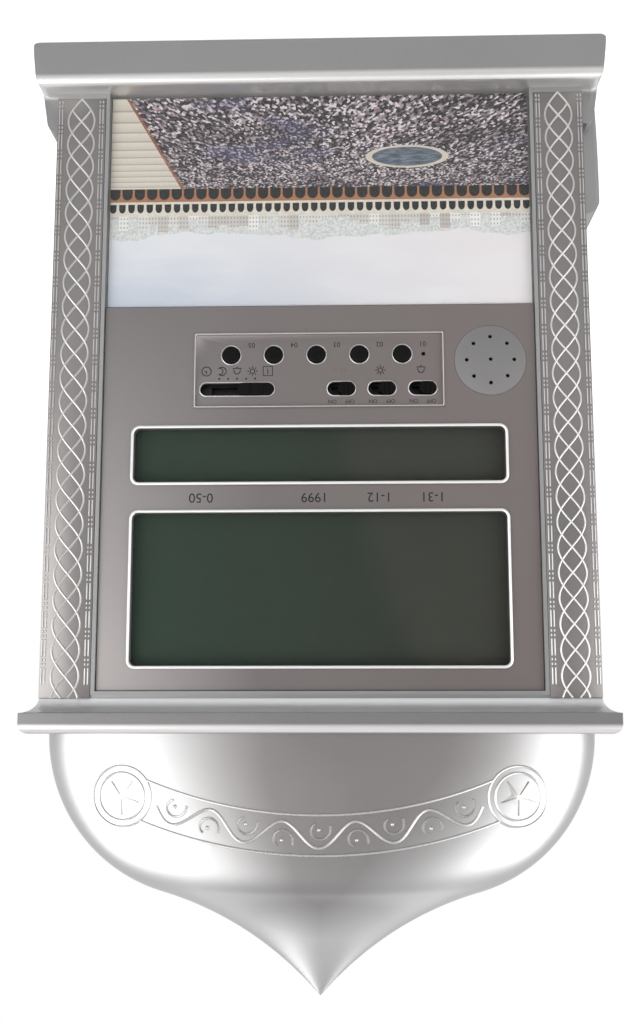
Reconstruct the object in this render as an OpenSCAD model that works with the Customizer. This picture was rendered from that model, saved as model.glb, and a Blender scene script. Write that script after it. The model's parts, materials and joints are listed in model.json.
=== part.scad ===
// Azan clock: a domed wall and desk clock with two displays, a picture panel,
// a row of buttons and slide switches, a speaker and a battery housing at the back.
// Millimetres. +Z is up, the front faces -Y, and the origin is at the middle of the feet plane.
// Depths are measured backwards from the face of the panel.

/* [Case] */
// Height of the sill that the picture stands on
sill_z = 17; // [15:0.5:20]
// Width of the opening between the columns
opening_w = 148.6; // [146:0.2:150]
// Width of a column
column_w = 18.7; // [18.4:0.1:24]
// Height of the opening from the sill to the lintel
opening_h = 210.3; // [209:0.1:216]
// Depth from the panel face back to the seam of the case
front_d = 15; // [14:0.5:20]
// Depth of the rear cover
rear_d = 13; // [10:0.5:18]
// Wall of the mouldings
wall = 2.2; // [1.8:0.1:2.6]
// How far the column frames stand in front of the panel
flange_proud = 1.6; // [1:0.1:2.4]
// Thickness of the column frames
flange_t = 3; // [2.6:0.1:3.6]
// Width of the rim between a column and the opening
rim_w = 1.3; // [1:0.1:2]
// Depth of the pocket that holds a column strip
pocket_d = 1.2; // [0.8:0.1:1.5]
// Width of the ledge behind the panel
ledge_w = 2; // [1.4:0.1:2]
// Thickness of the ledge behind the panel
ledge_t = 1.8; // [1.4:0.1:2.2]
// Height of the lintel above the opening
lintel_h = 1.3; // [1:0.1:2]

/* [Column strips] */
// Thickness of a column strip
strip_t = 1; // [0.7:0.1:1.2]
// Height of the raised lines on a strip
relief_h = 0.45; // [0.3:0.05:0.6]
// Width of the braid
braid_w = 10.1; // [8:0.1:11]
// Height of one diamond of the braid
braid_pitch = 8.5; // [7:0.1:12]
// Width of a braid strand
strand_w = 0.8; // [0.6:0.1:1.2]
// Place of the braid in from the outer edge of a column
braid_in = 8.7; // [8:0.1:9]
// Place of the outer row of beads in from that edge
outer_bead_in = 1.3; // [1.2:0.1:2]
// Place of the inner row of beads in from that edge
inner_bead_in = 15.8; // [15:0.1:16]
// Distance from one dash of a row of beads to the next
bead_pitch = 9.4; // [9:0.1:12]

/* [Cornice] */
// Gap of the shadow line under the cornice
shadow_h = 1; // [0.6:0.1:1.6]
// Height of the cove
cove_h = 4.7; // [3.5:0.1:6]
// Height of the flat band
band_h = 3.7; // [3:0.1:5]
// Radius of the rounded top edge
cornice_r = 3; // [2:0.1:3.4]
// How far the cornice stands in front of the panel
cornice_proud = 9; // [7:0.2:11]
// How far the cornice stands out at each side
cornice_side = 4.5; // [3:0.1:6]

/* [Dome] */
// How far the foot of the dome is drawn in at each side
dome_in = 0.2; // [0.1:0.1:2]
// Radius of the shoulder
shoulder_r = 54.5; // [50:0.5:58]
// Radius of the hollow curve up to the tip
neck_r = 114.4; // [105:0.2:125]
// Angle where the shoulder turns into the hollow curve
neck_a = 74; // [71:0.5:76]
// How far the dome swells forward from the seam
dome_t = 19; // [16:0.5:22]
// How boxy a slice through the dome is
dome_n = 2.2; // [2:0.1:2.6]
// Height of the raised ornament on the dome
ornament_h = 0.6; // [0.4:0.1:0.8]
// Width of its lines
ornament_w = 0.8; // [0.7:0.1:1.2]
// Radius of the lower line of the band
ornament_r0 = 152.6; // [150:0.1:155]
// Radius of its upper line
ornament_r1 = 165.6; // [162:0.1:168]
// Height of the middle of both lines of the band above the floor
ornament_c_z = 114.4; // [110:0.1:118]
// Place of the medallions in from the side of the dome's foot
medal_in = 27.8; // [26:0.1:32]
// Height of the medallions above the foot of the dome
medal_z = 20.5; // [18:0.5:24]
// Radius of a medallion
medal_r = 10.3; // [8:0.1:11]
// Radius of its inner ring
medal_ring_r = 8.1; // [7:0.1:8.4]
// Radius of its star
star_r = 6; // [4:0.1:6.4]

/* [Panel] */
// Thickness of the face panel
panel_t = 2.4; // [2.2:0.1:2.8]
// Height of the picture
picture_h = 78.1; // [70:0.1:79]
// Thickness of the clear sheet over the picture
sheet_t = 1; // [0.8:0.1:1.2]
// Thickness of the printed card
card_t = 0.4; // [0.3:0.05:0.6]
// Gap round the panel and the picture
panel_gap = 0.2; // [0.1:0.05:0.4]
// Width of the panel beside each end of a display opening
display_side = 11.1; // [10.8:0.1:16]
// Height of the small display opening
small_h = 18.6; // [14:0.2:19]
// Height of its lower edge above the sill
small_z = 121.5; // [121:0.1:124]
// Height of the large display opening
large_h = 51.3; // [40:0.1:52]
// Height of its lower edge above the sill
large_z = 150.7; // [150:0.1:152]
// Corner radius of the display openings
display_r = 2; // [1:0.1:3]
// Width of the raised edge round an opening
bezel_w = 1.1; // [0.8:0.1:1.4]
// How far that edge stands proud
bezel_h = 0.7; // [0.4:0.1:1]

/* [Controls] */
// Width of the panel beside the sunk control field
field_side = 31.8; // [31.6:0.1:33]
// Height of the field
field_h = 25.4; // [25:0.1:27]
// Height of its lower edge above the sill
field_z = 88.4; // [88:0.1:89]
// Depth of the field
field_d = 0.8; // [0.5:0.1:1]
// Width of the thin rim round the field
field_rim_w = 0.7; // [0.5:0.1:1]
// Height of that rim
field_rim_h = 0.45; // [0.3:0.05:0.6]
// Radius of a button
button_r = 2.95; // [2.5:0.05:3]
// Place of the outer buttons in from the sides of the field
button_in = 13; // [12:0.1:16]
// How far the row of buttons is set off the middle
button_off = 0.8; // [0:0.1:1.5]
// Height of the button row above the sill
button_z = 95.5; // [95:0.1:96]
// Stroke of a button
button_travel = 0.5; // [0.3:0.05:0.6]
// How far a button stands in front of the panel face
button_proud = 0.35; // [0.1:0.05:1]
// Gap round a button
button_gap = 0.2; // [0.1:0.05:0.3]
// Radius of the reset hole
pinhole_r = 0.7; // [0.5:0.1:1]
// Distance from the reset hole to the first button
pinhole_off = 7.3; // [7.2:0.1:8]
// Height of the switch row above the sill
switch_z = 107.6; // [107:0.1:108]
// Width of a two-way switch slot
slot_w = 9.5; // [9:0.1:10]
// Height of a two-way switch slot
slot_h = 4.8; // [4.6:0.1:5]
// Place of the first two-way switch in from the side of the field
switch_in = 6.9; // [6.7:0.1:7.3]
// Distance between two-way switches
switch_pitch = 13.95; // [13.6:0.05:14.2]
// Width of a two-way knob
knob_w = 5.5; // [5:0.1:5.6]
// Height of every knob
knob_h = 4; // [3.6:0.1:4.1]
// Width of the mode slider slot
mode_slot_w = 25.5; // [24:0.1:26]
// Height of the mode slider slot
mode_slot_h = 4.5; // [4.4:0.1:4.8]
// Place of the mode slider slot in from the side of the field
mode_in = 14.3; // [14.1:0.1:14.5]
// Width of the mode slider knob
mode_knob_w = 12.1; // [11:0.1:12.4]
// Gap at each end of a slot
slot_gap = 0.3; // [0.2:0.05:0.4]

/* [Speaker] */
// Place of the speaker in from the left side of the opening
speaker_in = 15.5; // [15.3:0.1:15.7]
// Height of the speaker above the sill
speaker_z = 98.2; // [97.8:0.1:98.6]
// Radius of the grille disc
grille_r = 12.25; // [11:0.05:12.5]
// How far the grille swells forward
grille_crown = 1.3; // [0.8:0.1:2]
// Radius of the ring of sound holes
grille_ring_r = 8.1; // [7:0.1:8.4]
// Radius of a sound hole
grille_hole_r = 0.65; // [0.5:0.05:0.9]
// Number of sound holes in the ring
grille_holes = 8; // [6:1:10]
// Radius of the speaker frame
speaker_r = 13.2; // [12.6:0.1:13.3]

/* [Base] */
// How far the foot of the base stands out at each side of the case
base_side = 8; // [7.6:0.1:10]
// How much narrower each side of the base is at the top
base_draft = 1.7; // [1:0.1:2]
// How far the base stands in front of the panel
base_proud = 9; // [8:0.2:11]
// Radius of the rounded edges of the base
base_r = 2.8; // [2:0.1:3.2]
// Wall of the base
base_wall = 2.4; // [2:0.1:2.8]
// Step from the sill down to the top of the base
base_step = 0.5; // [0.3:0.1:0.8]
// Height of the shoulders beside the columns
ear_h = 12.8; // [10:0.2:14]
// Width of a shoulder
ear_w = 5.5; // [4.4:0.1:5.5]
// Depth of the face of a shoulder behind the panel
ear_front = 1; // [0.5:0.1:2]
// Length of the short shoulder beside the battery housing
ear_short = 8.8; // [8:0.1:8.8]
// Radius of a foot
foot_r = 6; // [5:0.5:7]
// Thickness of a foot
foot_t = 2; // [1.8:0.1:2.4]
// How far the feet stand below the base
foot_proud = 0.8; // [0.5:0.1:1.2]
// Place of the feet in from the side of the case
foot_in = 18; // [15:1:23]

/* [Battery housing] */
// Depth of the housing behind the rear cover
housing_d = 18; // [17.6:0.1:20]
// Height of its top above the sill
housing_top = 42; // [41:0.5:46]
// Height of its underside above the floor
housing_low = 2; // [1:0.5:4]
// How far its flank stands out from the case
flank_w = 7.4; // [6.5:0.1:7.6]
// How much the flank swells at mid height
flank_swell = 0.8; // [0.4:0.1:1.2]
// Depth where the flank begins behind the panel
flank_front = 10; // [10:0.1:11]
// Radius of the top corners of the housing
housing_r = 6; // [4:0.5:7]
// Wall of the housing
housing_wall = 2; // [1.6:0.1:2]
// Place of the middle of the battery bay in from the left side of the case
bay_in = 47; // [45:0.5:49]
// Height of the bottom of the bay above the floor
bay_z = 11; // [10:0.5:12]
// Radius of a cell
cell_r = 7; // [6.9:0.05:7.1]
// Length of a cell without its nub
cell_l = 49.5; // [49:0.1:50]
// Length of a contact spring
spring_l = 5; // [4:0.1:6]
// Number of cells
cells = 3; // [3:1:3]
// Thickness of the battery door
door_t = 1.7; // [1.4:0.1:1.9]
// Gap round the door
door_gap = 0.25; // [0.2:0.05:0.3]
// How deep the edges of the door run in their grooves
tongue = 1.3; // [1:0.1:1.6]

/* [Boards] */
// Depth of both circuit boards behind the panel face
board_d = 8.8; // [8.8:0.1:10]
// Thickness of a circuit board
board_t = 1.6; // [1.2:0.1:1.6]
// Thickness of a display window
lens_t = 1.2; // [1:0.1:1.2]
// Thickness of a display cell
glass_t = 2.8; // [2.4:0.1:2.8]

/* [Fasteners] */
// Radius of a case screw
screw_r = 1.4; // [1.2:0.05:1.5]
// Radius of a small screw
small_screw_r = 0.95; // [0.8:0.05:1]
// Gap round a screw in its hole
screw_gap = 0.06; // [0.05:0.01:0.1]
// Radius of the round end of a hanging keyhole
keyhole_r = 4.5; // [4:0.1:5]
// Radius of the slot of a keyhole
keyhole_slot_r = 2.2; // [2:0.1:2.4]
// Length of the slot of a keyhole
keyhole_slot = 8; // [6:0.5:10]
// Place of the keyholes in from the side of the case
keyhole_in = 48; // [43:1:53]
// Height of the keyholes above the sill
keyhole_z = 188; // [180:1:195]

/* [Hidden] */
$fn = 48;

eps = 0.05;
case_w = opening_w + 2 * column_w;
half_w = case_w / 2;
base_w = case_w + 2 * base_side;
dome_half_w = half_w - dome_in;
medal_x = dome_half_w - medal_in;
display_w = opening_w - 2 * display_side;
speaker_x = -opening_w / 2 + speaker_in;
field_w = opening_w - 2 * field_side;
button_pitch = (field_w - 2 * button_in) / 4;
switch_x = switch_in - field_w / 2;
mode_x = field_w / 2 - mode_in;
foot_x = half_w - foot_in;
keyhole_x = half_w - keyhole_in;
bay_x = bay_in - half_w;
total_d = base_proud + front_d + rear_d + housing_d;
panel_y = base_proud - total_d / 2;
seam = front_d;
rear = front_d + rear_d;
housing_rear = rear + housing_d;
base_low = foot_proud;
base_top = sill_z - base_step;
opening_top = sill_z + opening_h;
lintel_top = opening_top + lintel_h;
cornice_z = lintel_top + shadow_h;
dome_z = cornice_z + cove_h + band_h + cornice_r;
panel_z0 = sill_z + picture_h + panel_gap;
panel_z1 = opening_top - panel_gap;
panel_half_w = opening_w / 2 - panel_gap;
small_low = sill_z + small_z;
large_low = sill_z + large_z;
field_low = sill_z + field_z;

silver = [0.72, 0.72, 0.73];
warm_silver = [0.62, 0.6, 0.6];
dark = [0.08, 0.08, 0.08];
green_glass = [0.16, 0.2, 0.18];
board_green = [0.1, 0.35, 0.2];
brass = [0.8, 0.66, 0.32];
steel = [0.6, 0.6, 0.62];

// ---- helpers ----

function arc(c, r, a0, a1, n = 8) =
    [for (i = [0:n]) let (a = a0 + (a1 - a0) * i / n) c + r * [cos(a), sin(a)]];

// A shape drawn in X and Z becomes a plate from depth d0 to depth d1.
module slab(d0, d1) {
    translate([0, panel_y + d1, 0]) rotate([90, 0, 0]) linear_extrude(d1 - d0) children();
}

// A shape turned about a front-to-back axis: its Y is forward from depth d.
module turned(x, z, d) {
    translate([x, panel_y + d, z]) rotate([90, 0, 0]) rotate_extrude() children();
}

module rod(x, z, r, d0, d1) {
    slab(d0, d1) translate([x, z]) circle(r);
}

module box(x0, x1, z0, z1) {
    translate([x0, z0]) square([x1 - x0, z1 - z0]);
}

module round_box(x0, x1, z0, z1, r) {
    polygon(concat(
        arc([x1 - r, z1 - r], r, 0, 90), arc([x0 + r, z1 - r], r, 90, 180),
        arc([x0 + r, z0 + r], r, 180, 270), arc([x1 - r, z0 + r], r, 270, 360)));
}

// A tube of the given number of sides along a list of points; up is never along the path.
module tube(points, r, sides, up) {
    n = len(points);
    dirs = [for (i = [0:n - 1])
        let (d = points[min(i + 1, n - 1)] - points[max(i - 1, 0)]) d / norm(d)];
    across = [for (d = dirs) let (c = cross(d, up)) c / norm(c)];
    ring_points = [for (i = [0:n - 1], k = [0:sides - 1])
        let (a = 360 * k / sides, v = cross(across[i], dirs[i]))
        points[i] + r * (cos(a) * across[i] + sin(a) * v)];
    skin = [for (i = [0:n - 2], k = [0:sides - 1], half = [0, 1])
        let (a = i * sides + k, b = i * sides + (k + 1) % sides)
        half == 0 ? [a, b, b + sides] : [a, b + sides, a + sides]];
    polyhedron(ring_points, concat(skin,
        [[for (k = [sides - 1:-1:0]) k], [for (k = [0:sides - 1]) (n - 1) * sides + k]]));
}

// Right half of the dome's outline, from its foot to its tip, drawn in by t.
shoulder_steps = 14;
neck_steps = 9;
shoulder_c = [dome_half_w - shoulder_r, dome_z];
neck_c = shoulder_c + (shoulder_r + neck_r) * [cos(neck_a), sin(neck_a)];
function dome_edge(t) =
    let (tip_a = acos(neck_c[0] / (neck_r + t)))
    concat(
        arc(shoulder_c, shoulder_r - t, 0, neck_a, shoulder_steps),
        [for (i = [1:neck_steps])
            let (a = neck_a + (tip_a - neck_a) * i / neck_steps)
            neck_c - (neck_r + t) * [cos(a), sin(a)]]);

// Depth of the dome's face at a place across and up, from the outline.
function dome_half(z) = z < shoulder_c[1] + shoulder_r * sin(neck_a)
    ? shoulder_c[0] + sqrt(pow(shoulder_r, 2) - pow(z - shoulder_c[1], 2))
    : neck_c[0] - sqrt(pow(neck_r, 2) - pow(neck_c[1] - z, 2));
function dome_face(x, z) =
    let (w = dome_half(z))
    seam - dome_t * w / dome_half_w * pow(1 - pow(abs(x) / w, dome_n), 1 / dome_n);

// Outline of the rear cover, drawn in by t.
foot_band = 3;
function cover_outline(t) =
    let (edge = dome_edge(t), last = len(edge) - 1, low = base_top + panel_gap)
    concat(
        [[-half_w + t, low + t], [half_w - t, low + t], [half_w - t, dome_z - foot_band]],
        edge,
        [for (i = [last - 1:-1:0]) [-edge[i][0], edge[i][1]]],
        [[-half_w + t, dome_z - foot_band]]);

module screw(x, z, d_head, head_r, head_t, r, length) {
    difference() {
        union() {
            rod(x, z, head_r, d_head, d_head + head_t);
            rod(x, z, r, d_head - length, d_head + eps);
        }
        slab(d_head + head_t - 0.6, d_head + head_t + 1) {
            box(x - head_r * 0.6, x + head_r * 0.6, z - 0.25, z + 0.25);
            box(x - 0.25, x + 0.25, z - head_r * 0.6, z + head_r * 0.6);
        }
    }
}

// ---- case ----

case_head_r = 2.8;
case_head_t = 1.8;
case_screw_l = 10;
boss_r = 3.4;
post_r = 4.6;
case_boss_x = half_w - wall - boss_r - 3;
case_boss_low = sill_z + housing_top + 20;
case_boss_high = opening_top - 6;
case_boss_z = [case_boss_low, (case_boss_low + case_boss_high) / 2, case_boss_high];
side_bosses = [for (s = [-1, 1], z = case_boss_z) [s * case_boss_x, z]];
dome_boss_x = 0.43 * dome_half_w;
dome_bosses = [[-dome_boss_x, dome_z + 21], [dome_boss_x, dome_z + 21], [0, dome_z + 46]];
stand_x = half_w - 33;
stand_d = (panel_t + ledge_t + seam) / 2;
stand_h = 9;
cornice_screw_x = [for (s = [-1:1]) s * (half_w - 23)];
cornice_screw_d = 8.6;
cornice_screw_l = 9;

module opening_shape(grow) {
    box(-opening_w / 2 - grow, opening_w / 2 + grow, base_top - 1, opening_top + grow);
}

module front_case() {
    outer_top = cornice_z;
    color(silver) difference() {
        union() {
            difference() {
                slab(-flange_proud, flange_t - flange_proud)
                    box(-half_w, half_w, base_top, lintel_top);
                slab(-flange_proud - 1, flange_t) opening_shape(0);
            }
            difference() {
                slab(-flange_proud + pocket_d, seam) box(-half_w, half_w, base_top, outer_top);
                slab(-flange_proud, seam + 1)
                    box(-half_w + wall, half_w - wall, base_top + wall, outer_top - wall);
                slab(-flange_proud, panel_t) opening_shape(0);
            }
            difference() {
                slab(flange_t - flange_proud - eps, panel_t + ledge_t)
                    box(-opening_w / 2 - wall, opening_w / 2 + wall, base_top, outer_top - wall / 2);
                slab(-flange_proud, panel_t) opening_shape(0);
                slab(panel_t - eps, panel_t + ledge_t + 1)
                    box(-opening_w / 2 + ledge_w, opening_w / 2 - ledge_w,
                        base_top + wall, opening_top - ledge_w);
            }
            for (p = side_bosses) rod(p[0], p[1], boss_r, 0.5, seam);
            for (s = [-1, 1]) translate([s * stand_x, panel_y + stand_d, base_top])
                cylinder(r = boss_r, h = stand_h);
        }
        for (s = [0, 1]) slab(-flange_proud - 1, -flange_proud + pocket_d) mirror([s, 0])
            box(opening_w / 2 + rim_w, half_w + 1, sill_z + rim_w, lintel_top + 1);
        for (p = side_bosses)
            rod(p[0], p[1], screw_r + screw_gap, seam - case_screw_l, seam + 1);
        for (s = [-1, 1]) translate([s * stand_x, panel_y + stand_d, base_top - 1])
            cylinder(r = screw_r + screw_gap, h = stand_h);
        for (x = cornice_screw_x)
            translate([x, panel_y + cornice_screw_d, outer_top - wall - 1])
                cylinder(r = screw_r + screw_gap, h = wall + 2);
    }
}

// A raised line that follows a list of points.
module band_line(points, w) {
    n = len(points);
    side = [for (i = [0:n - 1])
        let (d = points[min(i + 1, n - 1)] - points[max(i - 1, 0)]) [-d[1], d[0]] / norm(d) * w / 2];
    polygon(concat([for (i = [0:n - 1]) points[i] + side[i]],
        [for (i = [n - 1:-1:0]) points[i] - side[i]]));
}

// One of the four strands of the braid. Two of them start where the first diamond does;
// the other two start lower, at one point, and open out round it.
module strand(quarter, low, high) {
    tail = quarter % 2 == 0 ? 0 : 3.6;
    steps = 4;
    dz = braid_pitch / steps;
    amp = (braid_w - strand_w) / 2;
    open_l = tail + 2;
    function opened(z) = tail == 0 ? 1 : sin(90 * min(1, (z - low + tail) / open_l));
    band_line([for (i = [0:floor((high - low + tail) / dz)])
        let (z = low - tail + i * dz)
        [amp * opened(z) * sin(90 * ((z - low) / braid_pitch + quarter)), z]], strand_w);
}

// A row of beads: a dash of two thin bars, then two pairs of dots, over and over.
module bead_row(low, high) {
    bar_w = 0.55;
    bar_gap = 0.5;
    dash_h = 5.7;
    dot_h = 0.9;
    dot_gap = 0.6;
    for (i = [0:floor((high - low - bead_pitch) / bead_pitch)], s = [-1, 1])
        translate([s * (bar_w + bar_gap) / 2 - bar_w / 2, low + i * bead_pitch]) {
            square([bar_w, dash_h]);
            for (k = [0, 1])
                translate([0, dash_h + dot_gap + k * (dot_h + dot_gap)]) square([bar_w, dot_h]);
        }
}

module column_strip(s) {
    low = sill_z + rim_w + panel_gap;
    high = lintel_top - eps;
    face = -flange_proud + pocket_d - strip_t;
    margin = 2;
    color(silver) mirror([s, 0, 0]) {
        slab(face, face + strip_t) box(opening_w / 2 + rim_w + panel_gap, half_w, low, high);
        slab(face - relief_h, face + eps) {
            translate([half_w - outer_bead_in, 0]) bead_row(low + margin, high);
            translate([half_w - inner_bead_in, 0]) bead_row(low + margin, high);
            translate([half_w - braid_in, 0]) for (q = [0:3]) strand(q, low + 3.6 + margin, high);
        }
    }
}

module left_column() { column_strip(1); }
module right_column() { column_strip(0); }

// ---- cornice and dome ----

// The cornice's edge from below to above: out is how far it stands out, from the wall of the case.
function cornice_profile(wall_at, out) = concat(
    [for (p = arc([0, 0], 1, 180, 90)) [wall_at + out * (1 + p[0]), cornice_z + cove_h * p[1]]],
    arc([wall_at + out - cornice_r, dome_z - cornice_r], cornice_r, 0, 90));

module cornice() {
    long = 2 * half_w + 60;
    cavity_d = 0.2;
    neck_out = flange_proud - pocket_d;
    front = cornice_profile(seam + neck_out, cornice_proud - neck_out);
    side = cornice_profile(half_w, cornice_side);
    color(silver) difference() {
        intersection() {
            translate([-long / 2, panel_y + seam, 0]) rotate([90, 0, 90]) linear_extrude(long)
                polygon(concat([[0, cornice_z]], [for (p = front) [-p[0], p[1]]], [[0, dome_z]]));
            slab(-cornice_proud - 1, seam)
                polygon(concat(side, [for (i = [len(side) - 1:-1:0]) [-side[i][0], side[i][1]]]));
        }
        difference() {
            slab(cavity_d, seam + 1) box(-half_w + wall, half_w - wall, cornice_z - 1, dome_z - wall);
            for (x = cornice_screw_x) translate([x, panel_y + cornice_screw_d, cornice_z])
                cylinder(r = boss_r, h = dome_z - cornice_z);
        }
        for (x = cornice_screw_x) translate([x, panel_y + cornice_screw_d, cornice_z - 1])
            cylinder(r = screw_r + screw_gap, h = dome_z - cornice_z - wall / 2);
    }
}

dome_cols = 32;
// The skin of the dome between two distances inwards from its face.
module dome_skin(t0, t1) {
    outer = dome_edge(t0);
    inner = dome_edge(t1);
    rows = len(outer) - 1;
    cols = dome_cols + 1;
    function slice(w, t, z) = [for (j = [0:dome_cols])
        let (a = 180 * j / dome_cols, c = cos(a), s = max(0, sin(a)))
        [w * sign(c) * pow(abs(c), 2 / dome_n), panel_y + seam - t * pow(s, 2 / dome_n), z]];
    outer_points = [for (i = [0:rows - 1])
        each slice(outer[i][0], (dome_t - t0) * outer[i][0] / (dome_half_w - t0), outer[i][1])];
    inner_points = [for (i = [0:rows - 1])
        each slice(inner[i][0], (dome_t - t1) * inner[i][0] / (dome_half_w - t1), inner[i][1])];
    tip = [0, panel_y + seam, outer[rows][1]];
    inner_tip = [0, panel_y + seam, inner[rows][1]];
    count = rows * cols;
    skin = [for (i = [0:rows - 2], j = [0:dome_cols - 1], half = [0, 1])
        let (a = i * cols + j, b = a + 1, c = a + cols, d = c + 1)
        half == 0 ? [a, b, d] : [a, d, c]];
    cap = [for (j = [0:dome_cols - 1]) let (a = (rows - 1) * cols + j) [a, a + 1, 2 * count]];
    lining = [for (f = skin) [f[0] + count, f[2] + count, f[1] + count]];
    inner_cap = [for (j = [0:dome_cols - 1])
        let (a = count + (rows - 1) * cols + j) [a + 1, a, 2 * count + 1]];
    foot = [for (j = [0:dome_cols - 1], half = [0, 1])
        half == 0 ? [j + 1, j, count + j] : [j + 1, count + j, count + j + 1]];
    edge_a = [for (i = [0:rows - 2], half = [0, 1]) let (a = i * cols, c = a + cols)
        half == 0 ? [a, c, count + c] : [a, count + c, count + a]];
    edge_b = [for (i = [0:rows - 2], half = [0, 1])
        let (a = i * cols + dome_cols, c = a + cols)
        half == 0 ? [c, a, count + a] : [c, count + a, count + c]];
    last_a = (rows - 1) * cols;
    last_b = last_a + dome_cols;
    tips = [[last_a, 2 * count, 2 * count + 1], [last_a, 2 * count + 1, count + last_a],
            [2 * count, last_b, count + last_b], [2 * count, count + last_b, 2 * count + 1]];
    polyhedron(concat(outer_points, inner_points, [tip, inner_tip]),
        concat(skin, cap, lining, inner_cap, foot, edge_a, edge_b, tips));
}

module dome_shell() {
    color(silver) difference() {
        union() {
            dome_skin(0, wall);
            for (p = dome_bosses)
                rod(p[0], p[1], boss_r, dome_face(p[0], p[1]) + wall * 0.7, seam);
        }
        for (p = dome_bosses)
            rod(p[0], p[1], screw_r + screw_gap, seam - case_screw_l + 2, seam + 1);
    }
}

function on_band(r, a) = [0, ornament_c_z] + r * [sin(a), cos(a)];

// Angle at which a line of the band, r out from its middle, meets the ring of a medallion.
function band_end(r) =
    let (up = dome_z + medal_z - ornament_c_z, far = norm([medal_x, up]), ring = medal_r - ornament_w / 2)
    atan2(medal_x, up) - acos((r * r + far * far - ring * ring) / (2 * r * far));

module medallion() {
    star_points = 5;
    difference() { circle(medal_r); circle(medal_r - ornament_w); }
    difference() { circle(medal_ring_r); circle(medal_ring_r - ornament_w); }
    polygon([for (i = [0:2 * star_points - 1])
        let (a = 90 + 180 * i / star_points, r = i % 2 == 0 ? star_r : star_r * 0.4)
        r * [cos(a), sin(a)]]);
}

module dome_relief() {
    mid_r = (ornament_r0 + ornament_r1) / 2;
    swing = (ornament_r1 - ornament_r0) / 2 - 2.4;
    scroll_a = band_end(mid_r) * 0.96;
    bends = 9;
    steps = 8 * bends;
    curl_r = swing * 0.95;
    color(silver) intersection() {
        dome_skin(-ornament_h, 0);
        slab(-dome_t, seam - 1) {
            for (s = [-1, 1]) translate([s * medal_x, dome_z + medal_z]) medallion();
            for (r = [ornament_r0, ornament_r1])
                band_line([for (i = [-12:12]) on_band(r, band_end(r) * i / 12)], ornament_w);
            band_line([for (i = [0:steps]) let (u = i / steps)
                on_band(mid_r + swing * sin(180 * bends * u), scroll_a * (2 * u - 1))], ornament_w);
            for (i = [0:bends - 1])
                let (up = i % 2 == 0 ? 1 : -1, a = scroll_a * (2 * (i + 0.5) / bends - 1))
                translate(on_band(mid_r - up * swing * 0.45, a)) rotate(-a) {
                    circle(ornament_w, $fn = 16);
                    band_line([for (k = [0:10]) let (t = up * (200 - 26 * k))
                        curl_r * (1 - 0.045 * k) * [cos(t), sin(t)]], ornament_w * 0.8);
                }
        }
    }
}

// ---- face panel and picture ----

board_boss_r = 2.4;
glass_side = 1;
frame_side = 1.1;
main_boss_x = display_w / 2 + glass_side + frame_side + board_boss_r + 0.3;
main_half_w = main_boss_x + 3;
main_low = small_low - 3.5;
main_high = large_low + large_h + 4;
main_bosses = [for (s = [-1, 1], z = [main_low + 6, (main_low + main_high) / 2, main_high - 5])
    [s * main_boss_x, z]];
field_top = field_low + field_h;
control_low = field_low - 3.2;
control_high = field_top + 3.6;
control_boss_x = field_w / 2 + 0.5;
control_half_w = control_boss_x + 3.5;
control_bosses = [for (s = [-1, 1], z = [control_low + 3, control_high - 2.5]) [s * control_boss_x, z]];
clamp_head_r = 3.4;
clamp_off = speaker_r + board_boss_r + 0.5;
clamp_bosses = [for (s = [-1, 1]) [speaker_x, sill_z + speaker_z + s * clamp_off]];
speaker_flange_t = 1.6;
button_xs = [for (i = [-2:2]) button_off + i * button_pitch];
pinhole_x = button_xs[0] - pinhole_off;
switch_xs = [for (i = [0:2]) switch_x + i * switch_pitch];
grille_seat_t = 0.8;
grille_gap = 0.1;

module display_hole(low, high_h, grow, r) {
    round_box(-display_w / 2 - grow, display_w / 2 + grow, low - grow, low + high_h + grow, r);
}

module slot_shape(x, w, h) {
    round_box(x - w / 2, x + w / 2, sill_z + switch_z - h / 2, sill_z + switch_z + h / 2, h / 2 - 0.05);
}

module face_panel() {
    color(warm_silver) difference() {
        union() {
            slab(0, panel_t) box(-panel_half_w, panel_half_w, panel_z0, panel_z1);
            slab(-bezel_h, eps) {
                display_hole(small_low, small_h, bezel_w, display_r + bezel_w);
                display_hole(large_low, large_h, bezel_w, display_r + bezel_w);
            }
            slab(-field_rim_h, eps)
                box(-field_w / 2 - field_rim_w, field_w / 2 + field_rim_w,
                    field_low - field_rim_w, field_top + field_rim_w);
            for (p = concat(main_bosses, control_bosses))
                rod(p[0], p[1], board_boss_r, panel_t - eps, board_d);
            for (p = clamp_bosses)
                rod(p[0], p[1], board_boss_r, panel_t - eps, panel_t + speaker_flange_t);
        }
        slab(-bezel_h - 1, panel_t + 1) {
            display_hole(small_low, small_h, 0, display_r);
            display_hole(large_low, large_h, 0, display_r);
        }
        slab(-1, field_d) box(-field_w / 2, field_w / 2, field_low, field_top);
        for (x = button_xs)
            rod(x, sill_z + button_z, button_r + button_gap, -1, panel_t + 1);
        rod(pinhole_x, sill_z + button_z, pinhole_r, -1, panel_t + 1);
        slab(-1, panel_t + 1) {
            for (x = switch_xs) slot_shape(x, slot_w, slot_h);
            slot_shape(mode_x, mode_slot_w, mode_slot_h);
        }
        rod(speaker_x, sill_z + speaker_z, grille_r + grille_gap, -1, grille_seat_t);
        rod(speaker_x, sill_z + speaker_z, grille_r - 1.8, -1, panel_t + 1);
        for (p = concat(main_bosses, control_bosses))
            rod(p[0], p[1], small_screw_r + screw_gap, panel_t, board_d + 1);
        for (p = clamp_bosses)
            rod(p[0], p[1], small_screw_r + screw_gap, 1, panel_t + speaker_flange_t + 1);
    }
}

module picture_area(d0, d1, gap) {
    slab(d0, d1) box(-panel_half_w + gap, panel_half_w - gap, sill_z + gap, sill_z + picture_h - gap);
}

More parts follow.
